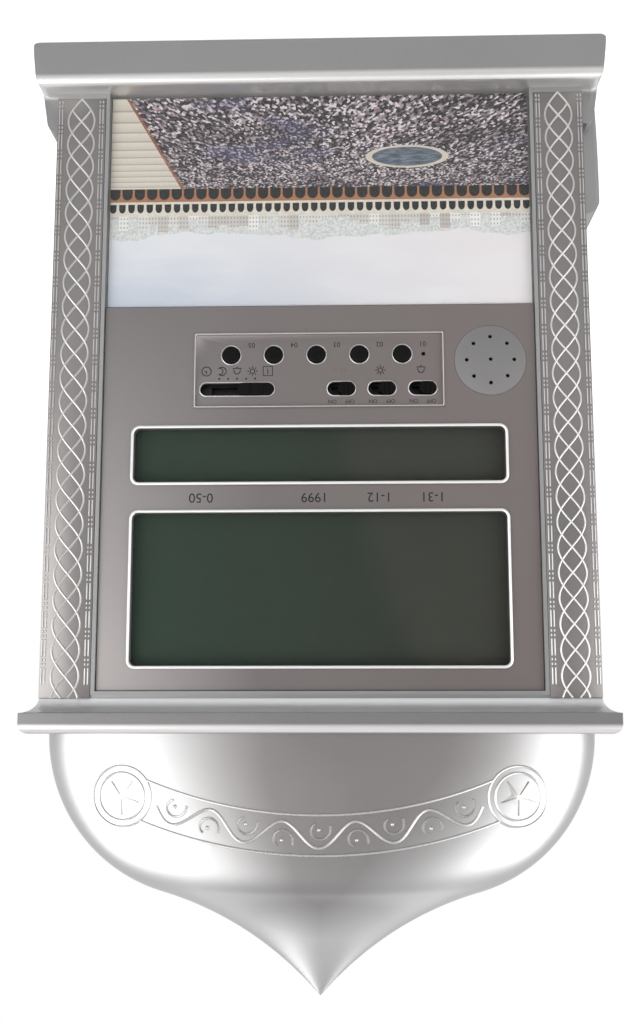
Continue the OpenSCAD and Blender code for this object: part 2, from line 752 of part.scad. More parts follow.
module picture_sheet() {
    color([0.9, 0.95, 1, 0.3]) picture_area(0, sheet_t, 0);
}

module picture_card() {
    color([0.75, 0.78, 0.82]) picture_area(sheet_t, sheet_t + card_t, 0.3);
}

module picture_backing() {
    color([0.5, 0.45, 0.38]) picture_area(sheet_t + card_t, panel_t, 0.1);
}

// ---- displays and boards ----

lens_grow = 2;
glass_up = 1.2;
glass_down = 2.6;
lens_d = panel_t + lens_t;
glass_d0 = lens_d + 0.1;
glass_d1 = glass_d0 + glass_t;

module glass_area(low, h, grow) {
    box(-display_w / 2 - glass_side - grow, display_w / 2 + glass_side + grow,
        low - glass_down - grow, low + h + glass_up + grow);
}

module large_window() {
    color([0.85, 0.9, 0.9, 0.3]) slab(panel_t, lens_d) display_hole(large_low, large_h, lens_grow, 1);
}

module small_window() {
    color([0.85, 0.9, 0.9, 0.3]) slab(panel_t, lens_d) display_hole(small_low, small_h, lens_grow, 1);
}

module large_display() {
    color(green_glass) slab(glass_d0, glass_d1) glass_area(large_low, large_h, 0);
}

module small_display() {
    color(green_glass) slab(glass_d0, glass_d1) glass_area(small_low, small_h, 0);
}

contact_half = 55;
contact_h = 2.2;
contact_up = 0.3;

module contact_area(low, grow) {
    z0 = low - glass_down + contact_up;
    box(-contact_half - grow, contact_half + grow, z0 - grow, z0 + contact_h + grow);
}

module contact_strips() {
    color([0.25, 0.25, 0.27]) slab(glass_d1, board_d) {
        contact_area(small_low, 0);
        contact_area(large_low, 0);
    }
}

module display_frame() {
    edge = display_w / 2 + glass_side + frame_side;
    color([0.85, 0.85, 0.82]) difference() {
        slab(lens_d, board_d)
            box(-edge, edge, small_low - glass_down - 1, large_low + large_h + glass_up + 1);
        for (d = [[small_low, small_h], [large_low, large_h]]) {
            slab(lens_d - 1, glass_d1) glass_area(d[0], d[1], 0.1);
            slab(glass_d1 - eps, board_d + 1) {
                display_hole(d[0] + 1, d[1] - 1, -0.5, 1);
                contact_area(d[0], 0.2);
            }
        }
    }
}

module main_board() {
    color(board_green) difference() {
        slab(board_d, board_d + board_t) box(-main_half_w, main_half_w, main_low, main_high);
        for (p = main_bosses) rod(p[0], p[1], 1.3, board_d - 1, board_d + board_t + 1);
    }
}

back_d = board_d + board_t;

plug_x = 23 - main_half_w;
plug_w = 8;
plug_h = 5;
plug_t = 5;
speaker_plug_z = main_low + 18;
battery_plug_z = speaker_plug_z + 12;

// A drop of sealing over a bare chip.
module chip_drop(x, z, r) {
    drop_t = 2;
    turned(x, z, back_d)
        polygon(concat([[0, 0], [r, 0]], [for (p = arc([0, 0], 1, 0, 90)) [r * p[0], -drop_t * p[1]]]));
}

module board_parts() {
    chip_up = 54;
    chip_z = main_low + chip_up;
    can_r = 3.2;
    can_h = 7.5;
    can_x = 44;
    can_pitch = 10;
    packet_l = 10;
    packet_w = 6;
    packet_t = 1.8;
    low_part_z = main_low + 28;
    crystal_l = 10;
    crystal_w = 3.6;
    crystal_t = 3;
    crystal_up = 12;
    color(dark) {
        chip_drop(-18, chip_z, 7);
        chip_drop(22, chip_z, 6);
        slab(back_d, back_d + packet_t) box(-6, packet_l - 6, low_part_z, low_part_z + packet_w);
        for (x = [can_x, can_x + can_pitch]) rod(x, low_part_z + packet_w / 2, can_r, back_d, back_d + can_h);
    }
    color(steel) slab(back_d, back_d + crystal_t)
        round_box(-2, crystal_l - 2, chip_z + crystal_up, chip_z + crystal_up + crystal_w,
            crystal_w / 2 - 0.1);
    color([0.95, 0.94, 0.9]) slab(back_d, back_d + plug_t)
        for (z = [speaker_plug_z, battery_plug_z])
            box(plug_x - plug_w / 2, plug_x + plug_w / 2, z, z + plug_h);
}

module control_board() {
    color(board_green) difference() {
        slab(board_d, back_d) box(-control_half_w, control_half_w, control_low, control_high);
        for (p = control_bosses) rod(p[0], p[1], 1.3, board_d - 1, back_d + 1);
    }
}

module ribbon_cable() {
    ribbon_w = 24;
    ribbon_t = 0.7;
    low = control_high - 5;
    high = main_low + 5;
    rise = 3;
    profile = [[back_d, low], [back_d + rise, low + 1], [back_d + rise, high - 1], [back_d, high],
        [back_d, high - ribbon_t], [back_d + rise - ribbon_t, high - 1 - ribbon_t],
        [back_d + rise - ribbon_t, low + 1 + ribbon_t], [back_d, low + ribbon_t]];
    color([0.75, 0.75, 0.78]) translate([-ribbon_w / 2, panel_y, 0]) rotate([90, 0, 90])
        linear_extrude(ribbon_w) polygon(profile);
}

// ---- buttons and switches ----

cap_flange_r = button_r + 0.95;
cap_flange_d = panel_t + 0.3;
cap_back = cap_flange_d + 1;
tact_half = 3;
tact_d = cap_back + button_travel + 1;
stem_r = 1.75;
stem_gap = 0.1;
stem_in = 1.2;
reset_d = panel_t + 0.3;

module button_switches() {
    color(dark) difference() {
        slab(tact_d, board_d) for (x = concat(button_xs, [pinhole_x]))
            box(x - tact_half, x + tact_half, sill_z + button_z - tact_half, sill_z + button_z + tact_half);
        for (x = concat(button_xs, [pinhole_x]))
            rod(x, sill_z + button_z, stem_r + stem_gap, tact_d - 1, tact_d + stem_in + button_travel + 0.2);
    }
}

module button_cap(i) {
    x = button_xs[i];
    edge = 0.4;
    color(dark) turned(x, sill_z + button_z, cap_back)
        polygon([[0, 0], [cap_flange_r, 0], [cap_flange_r, cap_back - cap_flange_d],
            [button_r, cap_back - cap_flange_d], [button_r, cap_back + button_proud - edge],
            [button_r - edge, cap_back + button_proud], [0, cap_back + button_proud]]);
}

module stem_at(x, front) {
    color([0.3, 0.3, 0.3]) rod(x, sill_z + button_z, stem_r, front, tact_d + stem_in);
}

module stop_button() { button_cap(0); }
module city_button() { button_cap(1); }
module set_button() { button_cap(2); }
module down_button() { button_cap(3); }
module up_button() { button_cap(4); }
module stop_stem() { stem_at(button_xs[0], cap_back); }
module city_stem() { stem_at(button_xs[1], cap_back); }
module set_stem() { stem_at(button_xs[2], cap_back); }
module down_stem() { stem_at(button_xs[3], cap_back); }
module up_stem() { stem_at(button_xs[4], cap_back); }
module reset_stem() { stem_at(pinhole_x, reset_d); }

switch_d = panel_t + 2.2;
switch_body_h = 6.6;
switch_body_w = 12.4;
mode_body_w = 29.6;
neck_w = 3;
mode_neck_w = 5;
neck_h = 2.8;
neck_back = board_d - 1.8;
knob_back = switch_d - 0.3;
switch_travel = slot_w - knob_w - 2 * slot_gap;
mode_travel = mode_slot_w - mode_knob_w - 2 * slot_gap;

module switch_body(x, w, neck, travel) {
    z = sill_z + switch_z;
    difference() {
        slab(switch_d, board_d) box(x - w / 2, x + w / 2, z - switch_body_h / 2, z + switch_body_h / 2);
        slab(switch_d - 1, neck_back + 0.4)
            box(x - (neck + travel) / 2 - slot_gap, x + (neck + travel) / 2 + slot_gap,
                z - neck_h / 2 - 0.2, z + neck_h / 2 + 0.2);
    }
}

// A knob at the left end of its slot, with ridges to push.
module knob(x, w, neck, travel, ridges, proud) {
    z = sill_z + switch_z;
    at = x - travel / 2;
    ridge = 0.5;
    color(dark) {
        slab(-proud, knob_back)
            round_box(at - w / 2, at + w / 2, z - knob_h / 2, z + knob_h / 2, knob_h / 2 - 0.05);
        slab(knob_back - eps, neck_back)
            box(at - neck / 2, at + neck / 2, z - neck_h / 2, z + neck_h / 2);
        for (r = ridges) slab(-proud - 0.5, -proud + eps)
            box(at + r - ridge / 2, at + r + ridge / 2, z - knob_h / 2, z + knob_h / 2);
    }
}

module slide_switches() {
    color([0.15, 0.15, 0.15])
        for (x = switch_xs) switch_body(x, switch_body_w, neck_w, switch_travel);
}

knob_proud = 0.1;
mode_proud = 0.2;
knob_ridges = [-1.5, 0, 1.5];
mode_ridges = [-2, 2];

module azan_knob() { knob(switch_xs[0], knob_w, neck_w, switch_travel, knob_ridges, knob_proud); }
module alarm_knob() { knob(switch_xs[1], knob_w, neck_w, switch_travel, knob_ridges, knob_proud); }
module summer_knob() { knob(switch_xs[2], knob_w, neck_w, switch_travel, knob_ridges, knob_proud); }

module mode_switch() {
    color([0.15, 0.15, 0.15]) switch_body(mode_x, mode_body_w, mode_neck_w, mode_travel);
}

module mode_knob() { knob(mode_x, mode_knob_w, mode_neck_w, mode_travel, mode_ridges, mode_proud); }

// ---- speaker ----

cone_r = speaker_r - 1.6;
magnet_r = 6.4;
magnet_d = panel_t + 6.4;
magnet_t = 3.4;

module speaker_grille() {
    ball_r = (pow(grille_r, 2) + pow(grille_crown, 2)) / (2 * grille_crown);
    edge_a = asin(grille_r / ball_r);
    face = arc([0, grille_crown + grille_seat_t - ball_r], ball_r, 90 - edge_a, 90, 8);
    back_r = grille_r - 2.2;
    color(silver) difference() {
        turned(speaker_x, sill_z + speaker_z, grille_seat_t)
            polygon(concat([[0, 0.9], [back_r, 0.3], [back_r, 0], [grille_r, 0]], face));
        rod(speaker_x, sill_z + speaker_z, grille_hole_r, -4, 4);
        for (i = [0:grille_holes - 1]) let (a = 360 * i / grille_holes)
            rod(speaker_x + grille_ring_r * cos(a), sill_z + speaker_z + grille_ring_r * sin(a),
                grille_hole_r, -4, 4);
    }
}

module speaker_frame() {
    color(steel) turned(speaker_x, sill_z + speaker_z, panel_t)
        polygon([[cone_r, 0], [speaker_r, 0], [speaker_r, -speaker_flange_t],
            [cone_r + 0.6, -speaker_flange_t], [magnet_r + 1.4, -(magnet_d - panel_t)],
            [2, -(magnet_d - panel_t)], [2, -(magnet_d - panel_t) + 0.8],
            [magnet_r + 1, -(magnet_d - panel_t) + 0.8], [cone_r, -speaker_flange_t + 0.2]]);
}

module speaker_cone() {
    color(dark) turned(speaker_x, sill_z + speaker_z, panel_t)
        polygon([[cone_r - 0.05, -0.3], [cone_r - 0.05, -0.7], [4, -3.6], [3, -2.6], [0, -2.2],
            [0, -1.8], [3.2, -2.2], [4, -3.1], [cone_r - 0.8, -0.3]]);
}

module speaker_magnet() {
    color(steel) rod(speaker_x, sill_z + speaker_z, magnet_r, magnet_d, magnet_d + magnet_t);
}

// A lead that leaves along -X or +X, rises and ends at a connector on the main board.
lead_r = 0.6;
module lead(points) {
    tube([for (p = points) [p[0], panel_y + p[1], p[2]]], lead_r, 8, [0, 1, 0]);
}

module speaker_leads() {
    tag_d = magnet_d + magnet_t + lead_r + 0.02;
    for (s = [0, 1]) color(s == 0 ? [0.7, 0.1, 0.1] : dark)
        lead([[speaker_x - 2 + 4 * s, tag_d, sill_z + speaker_z],
            [speaker_x - 1 + 4 * s, tag_d + 0.6, sill_z + speaker_z + 6],
            [speaker_x + 2 + 3 * s, tag_d + 1, sill_z + speaker_z + 14],
            [speaker_x + 6 + 3 * s, tag_d + 1, sill_z + speaker_z + 24],
            [speaker_x + 9 + 2.5 * s, tag_d + 0.8, speaker_plug_z - 6],
            [plug_x - 1 + 2 * s, back_d + plug_t / 2, speaker_plug_z - 2],
            [plug_x - 1 + 2 * s, back_d + plug_t / 2, speaker_plug_z]]);
}

// ---- rear cover ----

cover_plate = rear - wall;
tray_hole_r = 2.5;
lead_hole = [bay_x + 12, bay_z + 34];
housing_right = bay_x + (cell_l + spring_l) / 2 + 8.5;
housing_left = -half_w - flank_w;
housing_high = sill_z + housing_top;
housing_screw_z = sill_z + housing_top - 6.5;
housing_screw_xs = [housing_left + 15.6, housing_right - 3.6];
housing_screw_l = 8;
screw_floor = 2;

// The cover's outline at each depth, drawn in as the edge rounds, cut off flat at both faces.
module cover_body() {
    over = 0.5;
    stations = [[seam - over, 0], [rear - 3.4, 0], [rear - 1.1, 1], [rear, 3.2], [rear + over, 4.2]];
    rings = [for (s = stations) [for (p = cover_outline(s[1])) [p[0], panel_y + s[0], p[1]]]];
    n = len(rings[0]);
    m = len(stations);
    skin = [for (i = [0:m - 2], k = [0:n - 1], half = [0, 1])
        let (a = i * n + k, b = i * n + (k + 1) % n)
        half == 0 ? [a, b, b + n] : [a, b + n, a + n]];
    difference() {
        polyhedron([for (r = rings) each r], concat(skin,
            [[for (k = [n - 1:-1:0]) k], [for (k = [0:n - 1]) (m - 1) * n + k]]));
        slab(seam - 2 * over, seam) box(-case_w, case_w, 0, 2 * dome_z);
        slab(rear, rear + 2 * over) box(-case_w, case_w, 0, 2 * dome_z);
    }
}

module keyhole(x) {
    z = sill_z + keyhole_z;
    rod(x, z, keyhole_r, cover_plate - 1, rear + 1);
    slab(cover_plate - 1, rear + 1)
        round_box(x - keyhole_slot_r, x + keyhole_slot_r, z - 1, z + keyhole_slot + keyhole_slot_r,
            keyhole_slot_r - 0.05);
}

module rear_cover() {
    posts = concat(side_bosses, dome_bosses);
    color(silver) difference() {
        union() {
            difference() {
                cover_body();
                slab(seam - 1, cover_plate) polygon(cover_outline(wall));
            }
            for (p = posts) rod(p[0], p[1], post_r, seam, cover_plate + eps);
        }
        for (p = posts) {
            rod(p[0], p[1], screw_r + screw_gap, seam - 1, seam + screw_floor + 1);
            rod(p[0], p[1], case_head_r + 0.4, seam + screw_floor, rear + 1);
        }
        for (s = [-1, 1]) keyhole(s * keyhole_x);
        rod(lead_hole[0], lead_hole[1], tray_hole_r, cover_plate - 1, rear + 1);
        for (x = housing_screw_xs)
            rod(x, housing_screw_z, screw_r + screw_gap, cover_plate - 1, rear + 1);
    }
}

// ---- battery housing ----

cell_pitch = 2 * cell_r + 0.3;
plate_t = 0.5;
nub_l = 1;
bay_l = cell_l + nub_l + spring_l + 2 * plate_t;
bay_x0 = bay_x - bay_l / 2;
bay_x1 = bay_x + bay_l / 2;
bay_h = cells * cell_pitch + 0.3;
bay_floor = rear + 1.3;
door_sunk = 0.5;
door_d0 = housing_rear - door_t - door_sunk;
bay_depth = door_d0 - door_gap;
door_x0 = bay_x0 - 2.2;
door_x1 = bay_x1 + 2.2;
door_z0 = bay_z - 2.6;
tongue_t = 0.9;
cell_d = bay_floor + 0.15 + cell_r;

// Outline of the housing seen from the front: the flank swells a little and the top corners are round.
module housing_outline() {
    swell_n = 10;
    top_r = housing_r;
    low = housing_low;
    high = housing_high;
    polygon(concat(
        arc([housing_right - top_r, high - top_r], top_r, 0, 90, 6),
        arc([housing_left + top_r, high - top_r], top_r, 90, 180, 6),
        [for (i = [1:swell_n]) let (u = i / swell_n)
            [housing_left + flank_swell * pow(u, 2) * 2, high - top_r - (high - top_r - low - 2) * u]],
        arc([housing_left + flank_swell * 2 + 2, low + 2], 2, 180, 270, 4),
        arc([housing_right - 2, low + 2], 2, 270, 360, 4)));
}

module battery_housing() {
    plan_r = 4;
    flank_z = base_top + 0.3;
    flank_x = -half_w - 0.2;
    hollow_x = bay_x0 - housing_wall - 1;
    color(silver) difference() {
        union() {
            intersection() {
                slab(rear, housing_rear) housing_outline();
                translate([0, 0, -1]) linear_extrude(housing_high + 2) union() {
                    translate([0, panel_y]) polygon(concat(
                        [[housing_left, rear], [housing_right, rear]],
                        arc([housing_right - plan_r, housing_rear - plan_r], plan_r, 0, 90, 6),
                        arc([housing_left + plan_r, housing_rear - plan_r], plan_r, 90, 180, 6)));
                }
            }
            intersection() {
                slab(flank_front, rear + 1) housing_outline();
                slab(flank_front, rear + eps) box(housing_left - 1, flank_x, flank_z, housing_high + 1);
                translate([0, 0, -1]) linear_extrude(housing_high + 2) translate([0, panel_y])
                    polygon(concat([[flank_x + 1, rear + 2], [flank_x + 1, flank_front]],
                        [for (p = arc([housing_left + 1.6, flank_front + 1.6], 1.6, 270, 180, 6)) p],
                        [[housing_left, rear + 2]]));
            }
        }
        // the bay, open to the back
        slab(bay_floor, housing_rear + 1) box(bay_x0, bay_x1, bay_z, bay_z + bay_h);
        // the recess of the door and its two grooves, open at the top
        slab(bay_depth, housing_rear + 1) box(door_x0, door_x1, door_z0, housing_high + 1);
        slab(bay_depth, bay_depth + tongue_t + 2 * door_gap)
            box(door_x0 - tongue - door_gap, door_x1 + tongue + door_gap, door_z0, housing_high + 1);
        // the room beside the bay and inside the flank, open to the front
        difference() {
            slab(rear - 1, housing_rear - housing_wall)
                round_box(housing_left + housing_wall + 2, hollow_x - 1.6,
                    housing_low + housing_wall, housing_high - housing_wall, 3);
            rod(housing_screw_xs[0], housing_screw_z, boss_r, rear, housing_rear);
        }
        slab(flank_front + housing_wall, rear + 1)
            box(housing_left + housing_wall + flank_swell, flank_x - housing_wall,
                flank_z + housing_wall, housing_high - housing_wall - 3);
        for (x = housing_screw_xs)
            rod(x, housing_screw_z, screw_r + screw_gap, rear - 1, rear + housing_screw_l - 1);
        rod(lead_hole[0], lead_hole[1], tray_hole_r, rear - 1, bay_floor + 1);
    }
}

module battery_door() {
    top = housing_high - 0.3;
    ridge_h = 0.4;
    grip_z = top - 12;
    color(silver) {
        slab(door_d0, housing_rear - door_sunk)
            box(door_x0 + door_gap, door_x1 - door_gap, door_z0 + door_gap, top);
        slab(door_d0, door_d0 + tongue_t)
            box(door_x0 - tongue, door_x1 + tongue, door_z0 + door_gap, top);
        for (i = [0:3]) slab(housing_rear - door_sunk - eps, housing_rear - door_sunk + ridge_h)
            box(bay_x - 9, bay_x + 9, grip_z + i * 2.2, grip_z + i * 2.2 + 1);
    }
}

// Cells lie one above the other, turned end for end.
function cell_z(i) = bay_z + 0.15 + cell_r + i * cell_pitch + 0.15;
function cell_side(i) = i % 2 == 0 ? 1 : -1;
function nub_end(i) = cell_side(i) > 0 ? bay_x1 - plate_t : bay_x0 + plate_t;

module cells_aa() {
    for (i = [0:cells - 1]) color(i % 2 == 0 ? [0.2, 0.3, 0.6] : [0.25, 0.35, 0.6])
        translate([nub_end(i), panel_y + cell_d, cell_z(i)]) rotate([0, -90 * cell_side(i), 0]) {
            cylinder(r = 2.75, h = nub_l + eps);
            translate([0, 0, nub_l]) cylinder(r = cell_r, h = cell_l);
        }
}

module contact_plate(x0, z0, z1) {
    slab(bay_floor + 0.2, bay_floor + 2 * cell_r - 1) box(x0, x0 + plate_t, z0, z1);
}

module battery_contacts() {
    half = 5.2;
    right = bay_x1 - plate_t;
    color(brass) {
        contact_plate(right, cell_z(0) - half, cell_z(0) + half);
        contact_plate(bay_x0, cell_z(0) - half, cell_z(1) + half);
        contact_plate(right, cell_z(1) - half, cell_z(2) + half);
        contact_plate(bay_x0, cell_z(2) - half, cell_z(2) + half);
    }
}

// A conical contact spring from its plate to the flat end of a cell.
module battery_springs() {
    wire_r = 0.35;
    turns = 4;
    steps = 9;
    big_r = 4.2;
    small_r = 2.4;
    seat = 0.02;
    color(steel) for (i = [0:cells - 1]) {
        s = cell_side(i);
        plate_x = s > 0 ? bay_x0 + plate_t : bay_x1 - plate_t;
        run = spring_l - 2 * wire_r - 2 * seat;
        points = [for (k = [0:turns * steps])
            let (u = k / (turns * steps), a = 360 * k / steps, r = big_r + (small_r - big_r) * u)
            [plate_x + s * (wire_r + seat + run * u), panel_y + cell_d + r * cos(a), cell_z(i) + r * sin(a)]];
        tube(points, wire_r, 6, [1, 0, 0]);
    }
}

module battery_leads() {
    x0 = lead_hole[0];
    for (s = [0, 1]) color(s == 0 ? [0.7, 0.1, 0.1] : dark)
        lead([[x0 - 0.8 + 1.6 * s, rear + 1, lead_hole[1] - 1],
            [x0 - 0.8 + 1.6 * s, rear - 2, lead_hole[1] + 1.2],
            [x0 - 1 + 1.8 * s, rear - 6, lead_hole[1] + 6],
            [x0 - 2 + 2 * s, rear - 8, lead_hole[1] + 16],
            [x0 - 5 + 2.4 * s, rear - 9, lead_hole[1] + 34],
            [x0 - 8 + 2.8 * s, rear - 9.4, lead_hole[1] + 54],
            [x0 - 11 + 3 * s, rear - 9.8, lead_hole[1] + 74],
            [x0 - 13.6 + 3 * s, back_d + 6.2, battery_plug_z - 26],
            [x0 - 14.8 + 2.6 * s, back_d + 4.6, battery_plug_z - 12],
            [plug_x - 1 + 2 * s, back_d + plug_t / 2, battery_plug_z - 2],
            [plug_x - 1 + 2 * s, back_d + plug_t / 2, battery_plug_z]]);
}

// ---- base ----

plate_gap = 0.2;
plate_t2 = 2;
plate_boss_x = base_w / 2 - 13;
plate_boss_d = [-1, rear - 9];
feet_in = base_wall + foot_r + 1.6;
feet_d = [feet_in - base_proud, rear - feet_in];

module base_solid(shrink) {
    long = base_w + 20;
    foot_half = base_w / 2 - shrink;
    top_half = foot_half - base_draft;
    top = base_top - shrink;
    front = -base_proud + shrink;
    back = rear - shrink;
    r = max(0.3, base_r - shrink);
    low = shrink > 0 ? base_low - 1 : base_low;
    intersection() {
        translate([-long / 2, panel_y, 0]) rotate([90, 0, 90]) linear_extrude(long)
            polygon(concat([[back, low], [back, top]],
                arc([front + r, top - r], r, 90, 180, 7), [[front, low]]));
        slab(-base_proud - 1, rear + 1) polygon(concat(
            [[-foot_half, low], [foot_half, low]],
            arc([top_half - r, top - r], r, 8, 90, 6),
            arc([-top_half + r, top - r], r, 90, 172, 6)));
        translate([0, panel_y, low - 1]) linear_extrude(top - low + 3)
            polygon(concat([[foot_half, back], [-foot_half, back]],
                arc([-foot_half + r, front + r], r, 180, 270, 7),
                arc([foot_half - r, front + r], r, 270, 360, 7)));
    }
}

// A shoulder beside a column, round at its upper outer edge.
module ear(s, length) {
    inner = half_w + 0.2;
    outer = half_w + ear_w;
    top = base_top + ear_h;
    r = 3.6;
    lean = 1.2;
    slab(ear_front, ear_front + length) mirror([s < 0 ? 1 : 0, 0])
        polygon(concat([[inner, base_top - 1], [outer + 0.4, base_top - 1]],
            arc([outer - lean - r, top - r], r, 5, 70, 6),
            [[inner, top - 0.5]]));
}

module base_plinth() {
    color(silver) difference() {
        union() {
            difference() {
                base_solid(0);
                difference() {
                    base_solid(base_wall);
                    for (s = [-1, 1], d = plate_boss_d)
                        translate([s * plate_boss_x, panel_y + d, base_low + plate_t2])
                            cylinder(r = boss_r, h = base_top);
                }
            }
            ear(1, rear - ear_front);
            ear(-1, ear_short);
        }
        for (s = [-1, 1]) translate([s * stand_x, panel_y + stand_d, base_top - base_wall - 1])
            cylinder(r = screw_r + screw_gap, h = base_wall + 2);
        for (s = [-1, 1], d = plate_boss_d)
            translate([s * plate_boss_x, panel_y + d, base_low])
                cylinder(r = screw_r + screw_gap, h = plate_t2 + 8);
    }
}

module base_plate() {
    half = base_w / 2 - base_wall - plate_gap - 0.4;
    front = -base_proud + base_wall + plate_gap;
    back = rear - base_wall - plate_gap;
    color(silver) difference() {
        translate([0, panel_y, base_low]) linear_extrude(plate_t2)
            polygon([[-half, front], [half, front], [half, back], [-half, back]]);
        for (s = [-1, 1], d = feet_d) translate([s * foot_x, panel_y + d, base_low - 1])
            cylinder(r = foot_r + 0.1, h = 1 + foot_t - foot_proud);
        for (s = [-1, 1], d = plate_boss_d) translate([s * plate_boss_x, panel_y + d, base_low - 1])
            cylinder(r = screw_r + 0.2, h = plate_t2 + 2);
        for (s = [-1, 1], d = plate_boss_d) translate([s * plate_boss_x, panel_y + d, base_low - 1])
            cylinder(r = case_head_r + 0.2, h = 2);
    }
}

module rubber_feet() {
    color([0.12, 0.12, 0.12]) for (s = [-1, 1], d = feet_d)
        translate([s * foot_x, panel_y + d, 0]) cylinder(r = foot_r, h = foot_t);
}

// ---- fasteners ----

module case_screws() {
    color(steel) {
        for (p = side_bosses)
            screw(p[0], p[1], seam + screw_floor, case_head_r, case_head_t, screw_r, case_screw_l);
        for (p = dome_bosses)
            screw(p[0], p[1], seam + screw_floor, case_head_r, case_head_t, screw_r, case_screw_l - 2);
    }
}

module board_screws() {
    color(steel) {
        for (p = concat(main_bosses, control_bosses))
            screw(p[0], p[1], back_d, 2, 1.2, small_screw_r, 5);
        for (p = clamp_bosses)
            screw(p[0], p[1], panel_t + speaker_flange_t, clamp_head_r, 1.2, small_screw_r, 2.8);
    }
}

// A screw that stands upright with its head below.
module upright_screw(x, d, z_head, head_r, head_t, r, length) {
    translate([x, panel_y + d, z_head]) {
        translate([0, 0, -head_t]) cylinder(r = head_r, h = head_t);
        translate([0, 0, -eps]) cylinder(r = r, h = length + eps);
    }
}

module cornice_screws() {
    color(steel) for (x = cornice_screw_x)
        upright_screw(x, cornice_screw_d, cornice_z - wall, case_head_r, case_head_t, screw_r,
            cornice_screw_l);
}

module base_screws() {
    color(steel) for (s = [-1, 1])
        upright_screw(s * stand_x, stand_d, base_top - base_wall, case_head_r, case_head_t, screw_r,
            base_wall + stand_h - 2);
}

module plate_screws() {
    color(steel) for (s = [-1, 1], d = plate_boss_d)
        upright_screw(s * plate_boss_x, d, base_low + 1, case_head_r, 0.7, screw_r, 7.5);
}

module housing_screws() {
    color(steel) for (x = housing_screw_xs)
        translate([0, 2 * (panel_y + cover_plate), 0]) mirror([0, 1, 0])
            screw(x, housing_screw_z, cover_plate, case_head_r, case_head_t, screw_r, housing_screw_l);
}

front_case();
left_column();
right_column();
cornice();
dome_shell();
dome_relief();
face_panel();
picture_sheet();
picture_card();
picture_backing();
large_window();
small_window();
large_display();
small_display();
display_frame();
contact_strips();
main_board();
board_parts();
control_board();
ribbon_cable();
button_switches();
up_button();
down_button();
set_button();
city_button();
stop_button();
up_stem();
down_stem();
set_stem();
city_stem();
stop_stem();
reset_stem();
slide_switches();
azan_knob();
alarm_knob();
summer_knob();
mode_switch();
mode_knob();
speaker_grille();
speaker_frame();
speaker_cone();
speaker_magnet();
speaker_leads();
rear_cover();
battery_housing();
battery_door();
cells_aa();
battery_contacts();
battery_springs();
battery_leads();
base_plinth();
base_plate();
rubber_feet();
case_screws();
board_screws();
cornice_screws();
base_screws();
plate_screws();
housing_screws();
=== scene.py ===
import json
import math

import bmesh
import bpy
from mathutils import Matrix, Vector

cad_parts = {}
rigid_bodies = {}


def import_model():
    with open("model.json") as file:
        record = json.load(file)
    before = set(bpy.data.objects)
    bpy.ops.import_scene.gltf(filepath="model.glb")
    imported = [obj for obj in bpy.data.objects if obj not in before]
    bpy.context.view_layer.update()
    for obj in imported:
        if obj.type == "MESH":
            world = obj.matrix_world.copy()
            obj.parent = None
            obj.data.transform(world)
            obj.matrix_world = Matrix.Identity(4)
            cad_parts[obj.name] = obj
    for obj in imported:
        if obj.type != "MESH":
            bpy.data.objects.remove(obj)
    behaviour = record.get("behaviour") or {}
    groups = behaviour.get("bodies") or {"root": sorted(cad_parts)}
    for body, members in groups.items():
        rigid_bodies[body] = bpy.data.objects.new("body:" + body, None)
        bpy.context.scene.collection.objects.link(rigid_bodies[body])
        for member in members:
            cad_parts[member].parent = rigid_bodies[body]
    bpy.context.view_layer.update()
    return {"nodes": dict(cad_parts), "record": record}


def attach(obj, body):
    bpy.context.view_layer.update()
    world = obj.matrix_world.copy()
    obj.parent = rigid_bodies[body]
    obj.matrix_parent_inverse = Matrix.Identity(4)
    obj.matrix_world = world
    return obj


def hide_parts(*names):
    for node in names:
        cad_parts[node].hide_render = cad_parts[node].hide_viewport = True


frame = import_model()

scene = bpy.context.scene
mm = 0.001
panelY = -18.5  # the face of the panel, in mm; depths run back from it

# the clock is photographed upside down, so the camera is rolled over; its place is in mm
camera = {"lens": 42.1875, "sensor": 36, "place": (-12.35, -418.8, 227.9),
          "right": (-0.99959, 0.02874, 0.00078), "up": (-0.00505, -0.14891, -0.98884),
          "back": (-0.0283, -0.98843, 0.1490)}


def makeCamera(c):
    data = bpy.data.cameras.new("camera")
    data.lens, data.sensor_width = c["lens"], c["sensor"]
    data.clip_start, data.clip_end = 0.01, 20
    cam = bpy.data.objects.new("camera", data)
    turn = Matrix((c["right"], c["up"], c["back"])).transposed().to_4x4()
    cam.matrix_world = Matrix.Translation(Vector(c["place"]) * mm) @ turn
    scene.collection.objects.link(cam)
    scene.camera = cam


makeCamera(camera)
print("camera set")


class Wire:  # a socket that can be reckoned with
    def __init__(self, graph, socket):
        self.graph, self.socket = graph, socket

    def __add__(self, other):
        return self.graph.maths("ADD", self, other)

    def __sub__(self, other):
        return self.graph.maths("SUBTRACT", self, other)

    def __rsub__(self, other):
        return self.graph.maths("SUBTRACT", other, self)

    def __mul__(self, other):
        return self.graph.maths("MULTIPLY", self, other)

    def __truediv__(self, other):
        return self.graph.maths("DIVIDE", self, other)

    def __rtruediv__(self, other):
        return self.graph.maths("DIVIDE", other, self)

    def __gt__(self, other):
        return self.graph.maths("GREATER_THAN", self, other)

    def __lt__(self, other):
        return self.graph.maths("LESS_THAN", self, other)

    def ramp(self, low, high):  # 0 at low, 1 at high, and level beyond both
        slope = 1 / (high - low)
        return self.graph.maths("MULTIPLY_ADD", self, slope, -low / (high - low), clamp=True)


